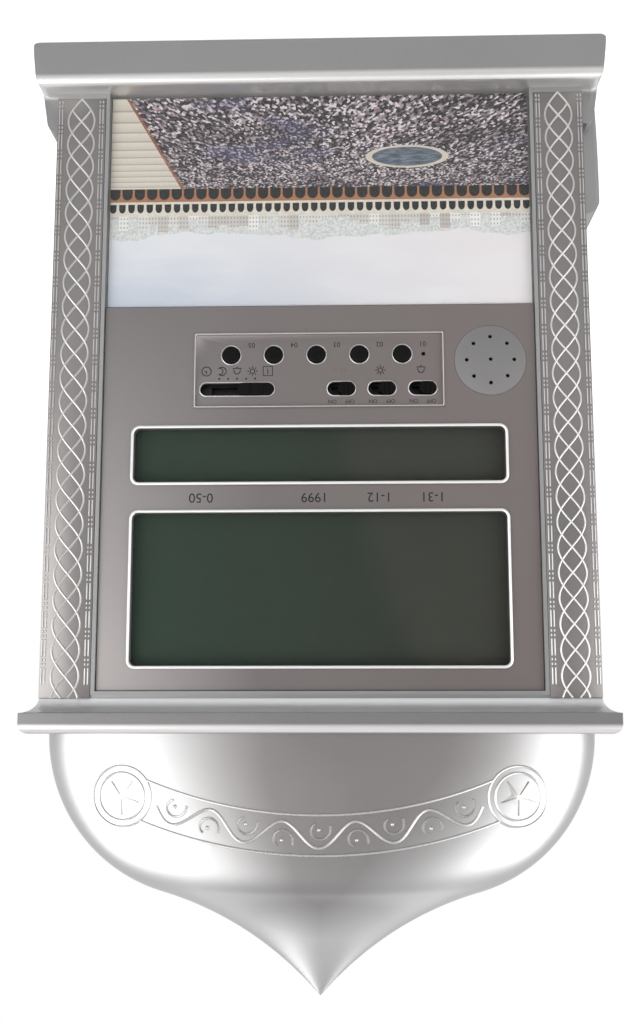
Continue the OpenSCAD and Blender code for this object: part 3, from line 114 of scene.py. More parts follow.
class Graph:  # a node tree, built up by calls
    def __init__(self, tree):
        self.tree = tree

    def add(self, kind, settings=None, sockets=None, out=0):
        node = self.tree.nodes.new(kind)
        for key, value in (settings or {}).items():
            setattr(node, key, value)
        for key, value in (sockets or {}).items():
            if isinstance(value, Wire):
                self.tree.links.new(value.socket, node.inputs[key])
            else:
                node.inputs[key].default_value = value
        return Wire(self, node.outputs[out]) if node.outputs else node

    def maths(self, operation, *values, clamp=False):
        settings = {"operation": operation, "use_clamp": clamp}
        return self.add("ShaderNodeMath", settings, dict(enumerate(values)))

    def mix(self, factor, a, b):
        a, b = (c if isinstance(c, Wire) else (*c, 1) for c in (a, b))
        return self.add("ShaderNodeMix", {"data_type": "RGBA"}, {0: factor, 6: a, 7: b}, out=2)

    def steps(self, factor, stops):  # one colour after another, without blending
        picked = self.add("ShaderNodeValToRGB", {}, {0: factor})
        ramp = picked.socket.node.color_ramp
        while len(ramp.elements) < len(stops):
            ramp.elements.new(1)
        for element, (place, colour) in zip(ramp.elements, stops):
            element.position, element.color = place, (*colour, 1)
        ramp.interpolation = "CONSTANT"
        return picked

    def noise(self, where, scale, detail=2.0):
        return self.add("ShaderNodeTexNoise", {}, {"Vector": where, "Scale": scale, "Detail": detail})

    def chance(self, value):
        return self.add("ShaderNodeTexWhiteNoise", {"noise_dimensions": "1D"}, {"W": value})

    def parts(self, where):
        node = self.add("ShaderNodeSeparateXYZ", {}, {0: where}).socket.node
        return [Wire(self, node.outputs[i]) for i in range(3)]

    def join(self, x, y, z):
        return self.add("ShaderNodeCombineXYZ", {}, {0: x, 1: y, 2: z})

    def here(self):
        return self.add("ShaderNodeTexCoord", {}, {}, out="Object")

    def coat(self, colour, rough, metal=0.0, bump=None, height=0.0001, **constants):
        sockets = {"Base Color": colour, "Roughness": rough, "Metallic": metal}
        sockets.update({key.replace("_", " "): value for key, value in constants.items()})
        if bump is not None:
            sockets["Normal"] = self.add("ShaderNodeBump", {}, {"Distance": height, "Height": bump})
        shader = self.add("ShaderNodeBsdfPrincipled", {}, sockets)
        self.add("ShaderNodeOutputMaterial", {}, {"Surface": shader})


def newMaterial(name):
    material = bpy.data.materials.new(name)
    material.use_nodes = True
    material.node_tree.nodes.clear()
    return material, Graph(material.node_tree)


def shaded(colour, factor):
    return [min(1, c * factor) for c in colour]


# the silver paints: noise scales per metre, the spread of the tone, where it turns rosy, and where a painted
# highlight makes it pale
silverMix = {"fleck": 2600, "cloud": 24, "coarse": 420, "dark": 0.86, "light": 1.13,
             "rosy": (1.06, 0.9, 0.88), "rosySlope": -7, "paleSide": (20, 80), "paleTop": 215, "paler": 2.2}
# the darker middle of the dome, a fan that narrows towards the tip, left out of the painted highlight on its
# sides; all in mm
fan = {"foot": 250, "waist": 294, "tip": 308, "shift": 12.0, "half": 30.0, "narrowing": 24.0,
       "closing": 30.0, "soft": 34}


def silverPaint(name, colour, metal=0.75, rough=0.34, flake=0.06, grain=0.00001, warm=0.0, lift=(),
                paintedLightBands=(), sides=()):
    m = silverMix
    material, g = newMaterial(name)
    at = g.here()
    x, z = g.parts(at)[::2]
    fleck = g.noise(at, m["fleck"], 1.0)
    cloud = g.noise(at, m["cloud"], 3.0)
    spread = (fleck - 0.5) * 8 * flake + (cloud - 0.5) * 0.3 + 0.5
    tone = g.mix(spread, shaded(colour, m["dark"]), shaded(colour, m["light"]))
    if warm:  # a little rosier on one side
        rosy = [c * r for c, r in zip(colour, m["rosy"])]
        tone = g.mix((x * m["rosySlope"] + 0.5).ramp(0.0, 1.0) * warm, tone, rosy)
    if lift:  # a painted highlight: paler on the other side, from a height upwards
        amount, low = lift
        corner = (x * 1000).ramp(*m["paleSide"]) * (z * 1000).ramp(low, m["paleTop"])
        tone = g.mix(corner * amount, tone, shaded(colour, m["paler"]))
    for low, high, soft, other in paintedLightBands:  # painted highlight or painted shade between two heights, in mm
        inside = (z * 1000).ramp(low, low + soft) * (z * 1000).ramp(high, high - soft)
        tone = g.mix(inside, tone, other)
    if sides:  # a painted highlight in another colour outside the fan
        rise = (z * 1000).ramp(fan["foot"], fan["waist"])
        close = (z * 1000).ramp(fan["waist"], fan["tip"])
        away = g.maths("ABSOLUTE", x * 1000 + fan["shift"] - rise * fan["shift"])
        away = away - fan["half"] + rise * fan["narrowing"] + close * fan["closing"]
        tone = g.mix(away.ramp(0, fan["soft"]), tone, sides)
    coarse = g.noise(at, m["coarse"], 2.0)
    g.coat(tone, (cloud - 0.5) * 0.1 + (fleck - 0.5) * 0.12 + rough, metal,
           bump=coarse + fleck * 0.5, height=grain)
    return material


def plastic(name, colour, rough=0.5, grain=700, depth=0.00003, **constants):
    material, g = newMaterial(name)
    at = g.here()
    cloud = g.noise(at, 60, 3.0)
    tone = g.mix(cloud, shaded(colour, 0.85), shaded(colour, 1.15))
    g.coat(tone, (cloud - 0.5) * 0.15 + rough, 0.0, bump=g.noise(at, grain, 2.0), height=depth,
           **constants)
    return material


def bareMetal(name, colour, rough=0.3, stretch=(1, 1, 12)):
    material, g = newMaterial(name)
    lines = g.noise(g.add("ShaderNodeMapping", {}, {"Vector": g.here(), "Scale": stretch}), 400, 3.0)
    g.coat(g.mix(lines, shaded(colour, 0.8), colour), (lines - 0.5) * 0.2 + rough, 1.0, bump=lines,
           height=0.00001)
    return material


def clearMoulding(name, tint, gloss):  # mostly see-through, with a plain gloss
    material, g = newMaterial(name)
    smear = g.noise(g.here(), 35, 3.0)
    rough = (smear - 0.5) * 0.05 + 0.06
    shine = g.add("ShaderNodeBsdfPrincipled", {}, {"Base Color": (*tint, 1), "Roughness": rough})
    clear = g.add("ShaderNodeBsdfTransparent", {}, {"Color": (0.98, 0.985, 0.98, 1)})
    fresnel = g.add("ShaderNodeLayerWeight", {}, {"Blend": 0.1}, out="Fresnel")
    both = g.add("ShaderNodeMixShader", {}, {0: fresnel * 0.4 + gloss, 1: clear, 2: shine})
    g.add("ShaderNodeOutputMaterial", {}, {"Surface": both})
    return material


# the display tones; corner is the colour of the painted reflection
glass = {"brown": (0.009, 0.011, 0.005), "green": (0.008, 0.028, 0.014), "corner": (0.034, 0.034, 0.023)}


def displayGlass(name, p):  # dark green, browner towards one side, with a painted reflection as a lighter corner
    material, g = newMaterial(name)
    at = g.here()
    x, z = g.parts(at)[::2]
    cloud = g.noise(at, 12, 2.0) - 0.5
    tone = g.mix((x * 8 + 0.45 + cloud * 0.4).ramp(0.0, 1.0), p["brown"], p["green"])
    paintedReflection = (x * -30 + z * -9 + 1.15 + cloud * 0.6).ramp(0.0, 0.25)
    g.coat(g.mix(paintedReflection * 0.5, tone, p["corner"]), 0.25, 0.0, bump=g.noise(at, 500, 1.0),
           height=0.000003, Specular_IOR_Level=0.07)
    return material


# the printed garden: the card's place in mm, then shares of its height, most of them from the horizon
garden = {"low": 17.0, "height": 78.1, "halfWidth": 74.3, "horizon": 0.56,
          "hillRise": 0.22, "houseFoot": 0.02, "houseRise": 0.07, "housePitch": 21.0,
          "wallTop": 0.012, "ledge": -0.056, "wallFoot": -0.118,
          "upperArches": {"low": -0.045, "high": -0.004, "pitch": 23.0, "wide": 0.36},
          "lowerArches": {"low": -0.118, "high": -0.066, "pitch": 17.0, "wide": 0.42},
          "pondAt": (-0.42, 0.30), "pondScale": (6.0, 22.0), "pondRim": 1.4,
          "pathSlope": -0.62, "pathStart": 0.93, "kerbStart": 0.915, "stepPitch": 17.0,
          "skyTop": (0.52, 0.56, 0.65), "skyLow": (0.76, 0.75, 0.79), "skyRosy": (0.77, 0.72, 0.74),
          "cloud": (0.80, 0.79, 0.81), "hill": (0.50, 0.52, 0.53), "hillPale": (0.74, 0.73, 0.72),
          "houseDark": (0.50, 0.45, 0.42), "houseLight": (0.84, 0.82, 0.80), "pane": (0.20, 0.21, 0.24),
          "shade": (0.012, 0.011, 0.012), "stone": (0.62, 0.56, 0.48), "stonePale": (0.72, 0.68, 0.62),
          "brick": (0.30, 0.11, 0.05), "brickPale": (0.42, 0.22, 0.12), "blossom": (0.6, 0.51, 0.53),
          "violets": (0.09, 0.09, 0.19), "water": (0.07, 0.09, 0.12), "ripple": (0.22, 0.25, 0.30),
          "gravel": (0.72, 0.66, 0.58), "gravelDark": (0.47, 0.42, 0.38), "joint": (0.22, 0.18, 0.15),
          "dust": (0.5, 0.46, 0.42),
          "petals": [(0.0, (0.007, 0.007, 0.01)), (0.43, (0.055, 0.048, 0.063)),
                     (0.51, (0.175, 0.135, 0.15)), (0.61, (0.34, 0.28, 0.3)), (0.75, (0.68, 0.61, 0.63)),
                     (0.90, (0.42, 0.05, 0.06)), (0.93, (0.1, 0.12, 0.28))]}


def skyAndHills(g, p, across, up, trees):
    view = g.mix(up.ramp(p["horizon"], 1.0), p["skyLow"], p["skyTop"])
    view = g.mix((across * -0.6 + 0.45).ramp(0.0, 1.0), view, p["skyRosy"])
    cloud = g.noise(g.join(across * 0.8, 0.0, up * 3.2), 2.4, 5.0)
    view = g.mix(cloud.ramp(0.45, 0.75) * 0.6, view, p["cloud"])
    hillTop = g.noise(g.join(across * 1.5, 3.0, 0.0), 1.6, 4.0) * p["hillRise"] + p["horizon"]
    return g.mix(up < hillTop, view, g.mix(trees.ramp(0.35, 0.65), p["hill"], p["hillPale"]))


def smallHouses(g, p, view, across, up, x, z):  # a row of white houses with dark windows
    block = g.maths("FLOOR", across * p["housePitch"])
    roof = g.chance(block) * p["houseRise"] + p["horizon"] + p["houseFoot"]
    front = g.mix(g.chance(block + 31.0), p["houseDark"], p["houseLight"])
    panes = (g.maths("FRACT", x * 900.0) > 0.55) * (g.maths("FRACT", z * 620.0) > 0.5)
    return g.mix(up < roof, view, g.mix(panes * 0.6, front, p["pane"]))


def openings(g, p, row, across, up, arches):  # round-headed openings along a wall
    low, high = p["horizon"] + arches["low"], p["horizon"] + arches["high"]
    bay = (g.maths("FRACT", across * arches["pitch"]) - 0.5) * (1 / arches["wide"])
    rise = g.maths("MAXIMUM", (up - low) / (high - low) * 2.0 - 1.0, 0.0)
    inside = (bay * bay + rise * rise) < 1.0
    return g.mix(inside * (up > low) * (up < high), row, p["shade"])


def gardenWall(g, p, view, across, up, at, trees):  # a stone wall above a brick one
    stone = g.mix(g.noise(at, 700, 2.0).ramp(0.3, 0.7), p["stone"], p["stonePale"])
    stone = openings(g, p, stone, across, up, p["upperArches"])
    view = g.mix(up < p["horizon"] + p["wallTop"], view, stone)
    brick = openings(g, p, g.mix(trees, p["brick"], p["brickPale"]), across, up, p["lowerArches"])
    return g.mix(up < p["horizon"] + p["ledge"], view, brick)


def flowers(g, p, across, up, far):  # smaller and closer together the further off they are
    beds = g.join(across * far * 82.0, far * 100.0, 0.0)
    petal = g.add("ShaderNodeTexVoronoi", {"voronoi_dimensions": "2D"}, {"Vector": beds, "Scale": 1.0},
                  out="Color")
    drift = g.noise(g.join(across * far * 1.6, far * 4.0, 5.0), 1.2, 4.0)
    field = g.steps(g.parts(petal)[0] * 0.76 + drift.ramp(0.3, 0.7) * 0.2, p["petals"])
    field = g.mix(g.noise(beds, 0.9, 3.0).ramp(0.4, 0.65) * 0.12, field, p["blossom"])
    blue = g.noise(g.join(across * 1.3, up * 4.0, 9.0), 1.7, 2.0).ramp(0.58, 0.68)
    return g.mix(blue * 0.45, field, p["violets"])


def pond(g, p, field, across, up):
    (x, z), (wide, tall) = p["pondAt"], p["pondScale"]
    pondX, pondZ = (across - x) * wide, (up - z) * tall
    ring = pondX * pondX + pondZ * pondZ
    field = g.mix(ring < p["pondRim"], field, p["stone"])
    ripple = g.noise(g.join(across * 9.0, up * 60.0, 0.0), 2.0, 3.0).ramp(0.4, 0.7)
    return g.mix(ring < 1.0, field, g.mix(ripple, p["water"], p["ripple"]))


def gravelPath(g, p, field, across, up, far, trees):  # it runs off to one side, behind a low kerb
    edge = up * p["pathSlope"]
    path = across > edge + p["pathStart"]
    step = g.maths("FRACT", far * p["stepPitch"])
    slabs = g.mix(step.ramp(0.0, 1.0) * 0.6, p["gravel"], p["gravelDark"])
    slabs = g.mix((step < 0.16) * 0.6, slabs, p["joint"])
    field = g.mix(path, field, g.mix(trees.ramp(0.4, 0.8) * 0.3, slabs, p["dust"]))
    kerb = (across > edge + p["kerbStart"]) * (1 - path)
    return g.mix(kerb * 0.8, field, p["brick"])


def printedCard(name, p):
    material, g = newMaterial(name)
    at = g.here()
    x, z = g.parts(at)[::2]
    across = x * (1000 / p["halfWidth"])
    up = (z * 1000 - p["low"]) / p["height"]
    far = 1 / g.maths("MAXIMUM", p["horizon"] + 0.5 - up, 0.05)  # grows towards the horizon
    trees = g.noise(at, 1300, 3.0)
    view = skyAndHills(g, p, across, up, trees)
    view = smallHouses(g, p, view, across, up, x, z)
    view = gardenWall(g, p, view, across, up, at, trees)
    field = pond(g, p, flowers(g, p, across, up, far), across, up)
    field = gravelPath(g, p, field, across, up, far, trees)
    view = g.mix(up < p["horizon"] + p["wallFoot"], view, field)
    g.coat(view, 0.4, 0.0, bump=g.noise(at, 1500, 1.0), height=0.000004)
    return material


silver = silverPaint("silverPaint", (0.34, 0.34, 0.342))
# the band on the plinth's fillet is a painted highlight
plinthSilver = silverPaint("plinthSilver", (0.3, 0.3, 0.3), paintedLightBands=[(12.6, 17.6, 1.3, (0.66, 0.65, 0.64))])
# the cornice's two brighter bands are painted highlights
corniceSilver = silverPaint("corniceSilver", (0.245, 0.235, 0.235),
                            paintedLightBands=[(228.6, 234.4, 0.5, (0.7, 0.7, 0.71)),
                                   (237.6, 241.4, 0.9, (0.55, 0.54, 0.54))])
# the columns get a faint painted highlight towards one side
columnSilver = silverPaint("columnSilver", (0.225, 0.213, 0.208), flake=0.08, lift=(0.1, -200))
# the raised braid and the hole rims are painted lighter than the column: a painted highlight
reliefSilver = silverPaint("reliefSilver", (0.52, 0.51, 0.505), metal=0.7, rough=0.3)
# the display and field rims are painted far lighter than the panel: a painted highlight
brightSilver = silverPaint("brightSilver", (0.78, 0.78, 0.78), metal=0.7, rough=0.36, flake=0.01,
                           grain=0.000001)
# the dome: painted shade over its upper part, and a painted highlight on its sides
domeSilver = silverPaint("domeSilver", (0.3, 0.28, 0.276), metal=0.9, rough=0.32, flake=0.04,
                         paintedLightBands=[(258, 345, 32, (0.225, 0.218, 0.217))], sides=(0.45, 0.45, 0.45))
# the dome's relief is painted lighter than the dome: a painted highlight
domeReliefSilver = silverPaint("domeReliefSilver", (0.46, 0.45, 0.445), metal=0.85, rough=0.28)
# the face panel gets a painted highlight on one side, from its middle upwards
faceSilver = silverPaint("faceSilver", (0.19, 0.178, 0.175), metal=0.7, rough=0.38, flake=0.09, warm=0.5,
                         lift=(1.0, 90))
grilleSilver = silverPaint("grilleSilver", (0.2, 0.196, 0.195), metal=0.5, rough=0.5)
finishes = {
    "silver_case": silver, "face_silver": faceSilver,
    "clear_sheet": clearMoulding("clearSheet", (0.9, 0.93, 0.93), 0.015),
    "display_glass": displayGlass("displayGlass", glass),
    "printed_card": printedCard("printedCard", garden),
    "grey_board": plastic("greyBoard", (0.36, 0.32, 0.26), 0.85, 300),
    "white_plastic": plastic("whitePlastic", (0.75, 0.75, 0.72), 0.5),
    "grey_rubber": plastic("greyRubber", (0.12, 0.12, 0.13), 0.7),
    "circuit_board": plastic("circuitBoard", (0.03, 0.16, 0.07), 0.35, 300),
    "board_part": plastic("boardPart", (0.03, 0.03, 0.032), 0.35),
    "grey_ribbon": plastic("greyRibbon", (0.5, 0.5, 0.53), 0.5),
    "black_plastic": plastic("blackPlastic", (0.014, 0.013, 0.013), 0.35, Specular_IOR_Level=0.3),
    "button_plastic": plastic("buttonPlastic", (0.005, 0.0045, 0.0045), 0.5, Specular_IOR_Level=0.08),
    "speaker_steel": bareMetal("speakerSteel", (0.55, 0.55, 0.57)),
    "speaker_paper": plastic("speakerPaper", (0.04, 0.04, 0.042), 0.85, 250, 0.0001),
    "ferrite": plastic("ferrite", (0.06, 0.06, 0.065), 0.6, 250),
    "lead_cover": plastic("leadCover", (0.35, 0.03, 0.025), 0.45),
    "cell_can": plastic("cellCan", (0.08, 0.14, 0.35), 0.3),
    "contact_metal": bareMetal("contactMetal", (0.75, 0.66, 0.42)),
    "spring_steel": bareMetal("springSteel", (0.6, 0.6, 0.62)),
    "screw_steel": bareMetal("screwSteel", (0.55, 0.55, 0.57), 0.35, (3, 3, 3)),
    "foot_rubber": plastic("footRubber", (0.03, 0.03, 0.03), 0.8, 350, 0.00008),
}
ink = plastic("printedInk", (0.016, 0.014, 0.015), 0.6, Specular_IOR_Level=0.2)
redInk = plastic("redInk", (0.22, 0.08, 0.07), 0.6)
slotOf = {entry["node"]: entry["material_slot"] for entry in frame["record"]["subparts"]}
for nodeName, slotName in slotOf.items():
    nodeMesh = frame["nodes"][nodeName].data
    nodeMesh.materials.clear()
    nodeMesh.materials.append(finishes[slotName])
print("finishes made")


def addPiece(mesh, name, body, material, nodes=(), smooth=32):
    obj = bpy.data.objects.new(name, mesh)
    mesh.materials.clear()
    mesh.materials.append(material)
    if smooth:
        mesh.polygons.foreach_set("use_smooth", [True] * len(mesh.polygons))
        mesh.set_sharp_from_angle(angle=math.radians(smooth))
    scene.collection.objects.link(obj)
    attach(obj, body)
    if nodes:
        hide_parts(*nodes)


def meshFrom(bm, name):
    bmesh.ops.recalc_face_normals(bm, faces=bm.faces)
    mesh = bpy.data.meshes.new(name)
    bm.to_mesh(mesh)
    bm.free()
    return mesh


def baked(obj):  # the object's mesh with its modifiers applied
    bpy.context.view_layer.update()
    mesh = bpy.data.meshes.new_from_object(obj.evaluated_get(bpy.context.evaluated_depsgraph_get()))
    bpy.data.objects.remove(obj)
    return mesh


softening = {"weld": 0.004, "flat": 0.6, "corner": 32}  # mm and degrees


def softened(node, name, body="clock", width=0.3, rounds=2, material=None):  # a node with rounded edges
    bm = bmesh.new()
    bm.from_mesh(frame["nodes"][node].data)
    bmesh.ops.remove_doubles(bm, verts=bm.verts, dist=softening["weld"] * mm)
    bmesh.ops.dissolve_limit(bm, angle_limit=math.radians(softening["flat"]), verts=bm.verts, edges=bm.edges)
    mesh = bpy.data.meshes.new(name)
    bm.to_mesh(mesh)
    bm.free()
    raw = bpy.data.objects.new(name + "Raw", mesh)
    scene.collection.objects.link(raw)
    corner = math.radians(softening["corner"])
    mesh.polygons.foreach_set("use_smooth", [True] * len(mesh.polygons))
    mesh.set_sharp_from_angle(angle=corner)
    bevel = raw.modifiers.new("edges", "BEVEL")
    bevel.width, bevel.segments, bevel.limit_method = width * mm, rounds, "ANGLE"
    bevel.angle_limit, bevel.use_clamp_overlap, bevel.harden_normals = corner, True, True
    mesh = baked(raw)
    mesh.name = name
    addPiece(mesh, name, body, material or finishes[slotOf[node]], [node], smooth=0)


def turns(count):  # the angles of a full round
    return [2 * math.pi * k / count for k in range(count)]


def tube(bm, points, radius, sides=8, closed=False, facing=Vector((0, -1, 0))):
    rings = []
    count = len(points)
    for i, p in enumerate(points):
        before = points[i - 1] if closed or i else p
        after = points[(i + 1) % count] if closed or i < count - 1 else p
        along = (after - before).normalized()
        side = along.cross(facing).normalized()
        out = side.cross(along)
        rings.append([bm.verts.new(p + radius * (math.cos(a) * side + math.sin(a) * out))
                      for a in turns(sides)])
    for i in range(count if closed else count - 1):
        a, b = rings[i], rings[(i + 1) % count]
        for k in range(sides):
            bm.faces.new((a[k], a[(k + 1) % sides], b[(k + 1) % sides], b[k]))
    if not closed:
        bm.faces.new(rings[0][::-1])
        bm.faces.new(rings[-1])


def atPanel(x, depth, z):
    return Vector((x, panelY + depth, z)) * mm


def circleOf(x, z, radius, depth, count=40):
    return [atPanel(x + radius * math.cos(a), depth, z + radius * math.sin(a)) for a in turns(count)]


def roundLoop(x0, x1, z0, z1, radius, depth, steps=6):
    corners = ((x1 - radius, z1 - radius, 0), (x0 + radius, z1 - radius, 90),
               (x0 + radius, z0 + radius, 180), (x1 - radius, z0 + radius, 270))
    return [atPanel(cx + radius * math.cos(math.radians(a + 90 * k / steps)), depth,
                    cz + radius * math.sin(math.radians(a + 90 * k / steps)))
            for cx, cz, a in corners for k in range(steps + 1)]


# how far the edges of the case are rounded, in mm, and its paints
softEdges = {"front_case": (0.35, silver), "cornice": (0.3, corniceSilver),
             "base_plinth": (0.4, plinthSilver), "base_plate": (0.25, silver),
             "rear_cover": (0.3, silver), "battery_housing": (0.3, silver)}
for nodeName, (edge, paint) in softEdges.items():
    softened(nodeName, nodeName.title().replace("_", ""), "clock", edge, material=paint)
softened("battery_door", "BatteryDoor", "door", 0.2)
print("case softened")

# the columns: a braid of four strands between two rows of beads
column = {"outer": 92.9, "inner": 75.8, "low": 17.2, "high": 229.5, "face": -1.44, "back": -0.4, "edge": 0.12,
          "braidIn": 8.6, "beadIn": (1.2, 15.7), "pitch": 8.5, "width": 9.3, "strand": 0.38, "points": 420,
          "start": 18.4, "beadPitch": 9.4, "beadEnd": 2, "dash": 5.7, "dot": 0.9, "dotGap": 0.6,
          "bar": 0.27, "barGap": 0.525, "barEnd": 0.55, "barHeight": 1.4, "sides": 8}


class Shape(Graph):  # a Geometry Nodes group
    def __init__(self, name, inputs):
        tree = bpy.data.node_groups.new(name, "GeometryNodeTree")
        tree.interface.new_socket("Geometry", in_out="OUTPUT", socket_type="NodeSocketGeometry")
        self.ids = {key: tree.interface.new_socket(key, in_out="INPUT", socket_type=kind).identifier
                    for key, kind in inputs.items()}
        super().__init__(tree)
        self.start = tree.nodes.new("NodeGroupInput")
        self.heap = tree.nodes.new("GeometryNodeJoinGeometry")

    def given(self, key):
        return Wire(self, self.start.outputs[key])

    def keep(self, geometry):
        self.tree.links.new(geometry.socket, self.heap.inputs[0])

    def end(self, material):
        real = self.add("GeometryNodeRealizeInstances", {}, {0: Wire(self, self.heap.outputs[0])})
        painted = self.add("GeometryNodeSetMaterial", {}, {"Geometry": real, "Material": material})
        self.add("NodeGroupOutput", {}, {"Geometry": painted})

    def run(self, name, values):
        holder = bpy.data.objects.new(name, bpy.data.meshes.new(name))
        change = holder.modifiers.new("shape", "NODES")
        change.node_group = self.tree
        for key, value in values.items():
            change[self.ids[key]] = value
        scene.collection.objects.link(holder)
        return baked(holder)


def addStrand(g, c, profile, quarter):
    low = g.given("Start") + g.given("Pitch") * (0.5 if quarter % 2 else 0.0)  # two strands start later
    line = g.add("GeometryNodeCurvePrimitiveLine", {}, {
        "Start": g.join(g.given("Braid X"), g.given("Face"), low),
        "End": g.join(g.given("Braid X"), g.given("Face"), g.given("Top"))})
    fine = g.add("GeometryNodeResampleCurve", {}, {"Curve": line, "Count": c["points"]})
    z = g.parts(g.add("GeometryNodeInputPosition", {}, {}))[2]
    turn = ((z - g.given("Start")) / g.given("Pitch") + float(quarter)) * (math.pi / 2)
    swing = g.maths("SINE", turn) * g.given("Width") * 0.5
    moved = g.add("GeometryNodeSetPosition", {}, {"Geometry": fine, "Offset": g.join(swing, 0.0, 0.0)})
    sockets = {"Curve": moved, "Profile Curve": profile, "Fill Caps": True}
    g.keep(g.add("GeometryNodeCurveToMesh", {}, sockets))


def addBeadRow(g, row, part):
    spots = g.add("GeometryNodeMeshLine", {}, {
        "Count": g.given("Beads"), "Start Location": g.join(g.given(row), g.given("Face"), g.given("Low")),
        "Offset": g.join(0.0, 0.0, g.given("Bead Pitch"))})
    shape = g.add("GeometryNodeObjectInfo", {}, {"Object": g.given(part)}, out="Geometry")
    g.keep(g.add("GeometryNodeInstanceOnPoints", {}, {"Points": spots, "Instance": shape}))


def columnRelief(c, material):
    inputs = {key: "NodeSocketFloat" for key in ("Braid X", "Outer Beads X", "Inner Beads X", "Face", "Start",
                                                 "Top", "Pitch", "Width", "Strand", "Bead Pitch", "Low")}
    inputs.update({"Bar": "NodeSocketObject", "Dots": "NodeSocketObject", "Beads": "NodeSocketInt"})
    g = Shape("columnRelief", inputs)
    profile = g.add("GeometryNodeCurvePrimitiveCircle", {}, {"Resolution": c["sides"],
                                                             "Radius": g.given("Strand")})
    for quarter in range(4):
        addStrand(g, c, profile, quarter)
    for row in ("Outer Beads X", "Inner Beads X"):
        for part in ("Bar", "Dots"):
            addBeadRow(g, row, part)
    g.end(material)
    return g


def beadShape(name, spans, c):  # a pair of half-buried pills for each span
    sides, r, end = c["sides"], c["bar"], c["barEnd"]
    bm = bmesh.new()
    for x in (-c["barGap"] * mm, c["barGap"] * mm):
        for low, high in spans:
            rings = [[bm.verts.new((x + math.cos(a) * r * s * mm, -math.sin(a) * r * s * c["barHeight"] * mm,
                                    z * mm)) for a in turns(sides)]
                     for z, s in ((low, end), (low + r * 0.5, 1), (high - r * 0.5, 1), (high, end))]
            for a, b in zip(rings, rings[1:]):
                for k in range(sides):
                    bm.faces.new((a[k], b[k], b[(k + 1) % sides], a[(k + 1) % sides]))
            bm.faces.new(rings[0])
            bm.faces.new(rings[-1][::-1])
    obj = bpy.data.objects.new(name, meshFrom(bm, name))
    scene.collection.objects.link(obj)
    return obj


def columnStrip(c, side, name):
    middle = atPanel(side * (c["outer"] + c["inner"]) / 2, (c["face"] + c["back"]) / 2,
                     (c["low"] + c["high"]) / 2)
    size = Vector((c["outer"] - c["inner"], c["back"] - c["face"], c["high"] - c["low"])) * mm
    bm = bmesh.new()
    bmesh.ops.create_cube(bm, size=1, matrix=Matrix.LocRotScale(middle, None, size))
    bmesh.ops.bevel(bm, geom=bm.edges, offset=c["edge"] * mm, segments=2, affect="EDGES", profile=0.5)
    addPiece(meshFrom(bm, name + "Column"), name + "Column", "clock", columnSilver,
             [name.lower() + "_column"])


def makeColumns(c):
    step = c["dot"] + c["dotGap"]
    dots = beadShape("beadDots", [(k * step, c["dot"] + k * step) for k in range(2)], c)
    bar = beadShape("beadBar", [(2 * step, 2 * step + c["dash"])], c)
    relief = columnRelief(c, reliefSilver)
    beads = int((c["high"] - c["low"] - c["beadEnd"]) // c["beadPitch"])
    for side, name in ((-1, "Left"), (1, "Right")):
        sizes = {"Braid X": side * (c["outer"] - c["braidIn"]),
                 "Outer Beads X": side * (c["outer"] - c["beadIn"][0]),
                 "Inner Beads X": side * (c["outer"] - c["beadIn"][1]), "Face": panelY + c["face"],
                 "Start": c["start"], "Top": c["high"], "Pitch": c["pitch"], "Width": c["width"],
                 "Strand": c["strand"], "Bead Pitch": c["beadPitch"], "Low": c["low"] + c["beadEnd"]}
        sizes = {key: value * mm for key, value in sizes.items()}
        mesh = relief.run(name + "ColumnRelief", {**sizes, "Bar": bar, "Dots": dots, "Beads": beads})
        addPiece(mesh, name + "ColumnRelief", "clock", reliefSilver)
        columnStrip(c, side, name)
    bpy.data.objects.remove(bar)
    bpy.data.objects.remove(dots)


makeColumns(column)
print("columns made")

# the dome: a shoulder arc, then a neck arc that turns back to the tip
dome = {"foot": 241.0, "halfWidth": 92.8, "shoulder": 54.5, "neck": 114.4, "neckTurn": 74.0, "swell": 19.0,
        "boxy": 2.2, "seam": 15.0, "wall": 2.2, "rows": 72, "columns": 140, "rowsBelow": 0.6}
shoulderAt = (dome["halfWidth"] - dome["shoulder"], dome["foot"])
reach = dome["shoulder"] + dome["neck"]
neckAt = (shoulderAt[0] + reach * math.cos(math.radians(dome["neckTurn"])),
          shoulderAt[1] + reach * math.sin(math.radians(dome["neckTurn"])))


def domeEdge(inset, rows):  # half of the outline, from the foot to the tip
    turn = math.radians(dome["neckTurn"])
    tip = math.acos(neckAt[0] / (dome["neck"] + inset))
    below = int(rows * dome["rowsBelow"])
    above = rows - below
    r = dome["shoulder"] - inset
    edge = [(shoulderAt[0] + r * math.cos(turn * i / below), shoulderAt[1] + r * math.sin(turn * i / below))
            for i in range(below + 1)]
    r = dome["neck"] + inset
    return edge + [(neckAt[0] - r * math.cos(a), neckAt[1] - r * math.sin(a))
                   for a in (turn + (tip - turn) * i / above for i in range(1, above + 1))]


def domeHalf(z):  # half of the dome's width at a height
    knee = shoulderAt[1] + dome["shoulder"] * math.sin(math.radians(dome["neckTurn"]))
    if z < knee:
        return shoulderAt[0] + math.sqrt(dome["shoulder"] ** 2 - (z - shoulderAt[1]) ** 2)
    return neckAt[0] - math.sqrt(dome["neck"] ** 2 - (neckAt[1] - z) ** 2)


def onDome(x, z, proud=0.0):
    w, n = domeHalf(z), dome["boxy"]
    bulge = dome["swell"] * w / dome["halfWidth"] * (1 - (abs(x) / w) ** n) ** (1 / n)
    return atPanel(x, dome["seam"] - bulge - proud, z)


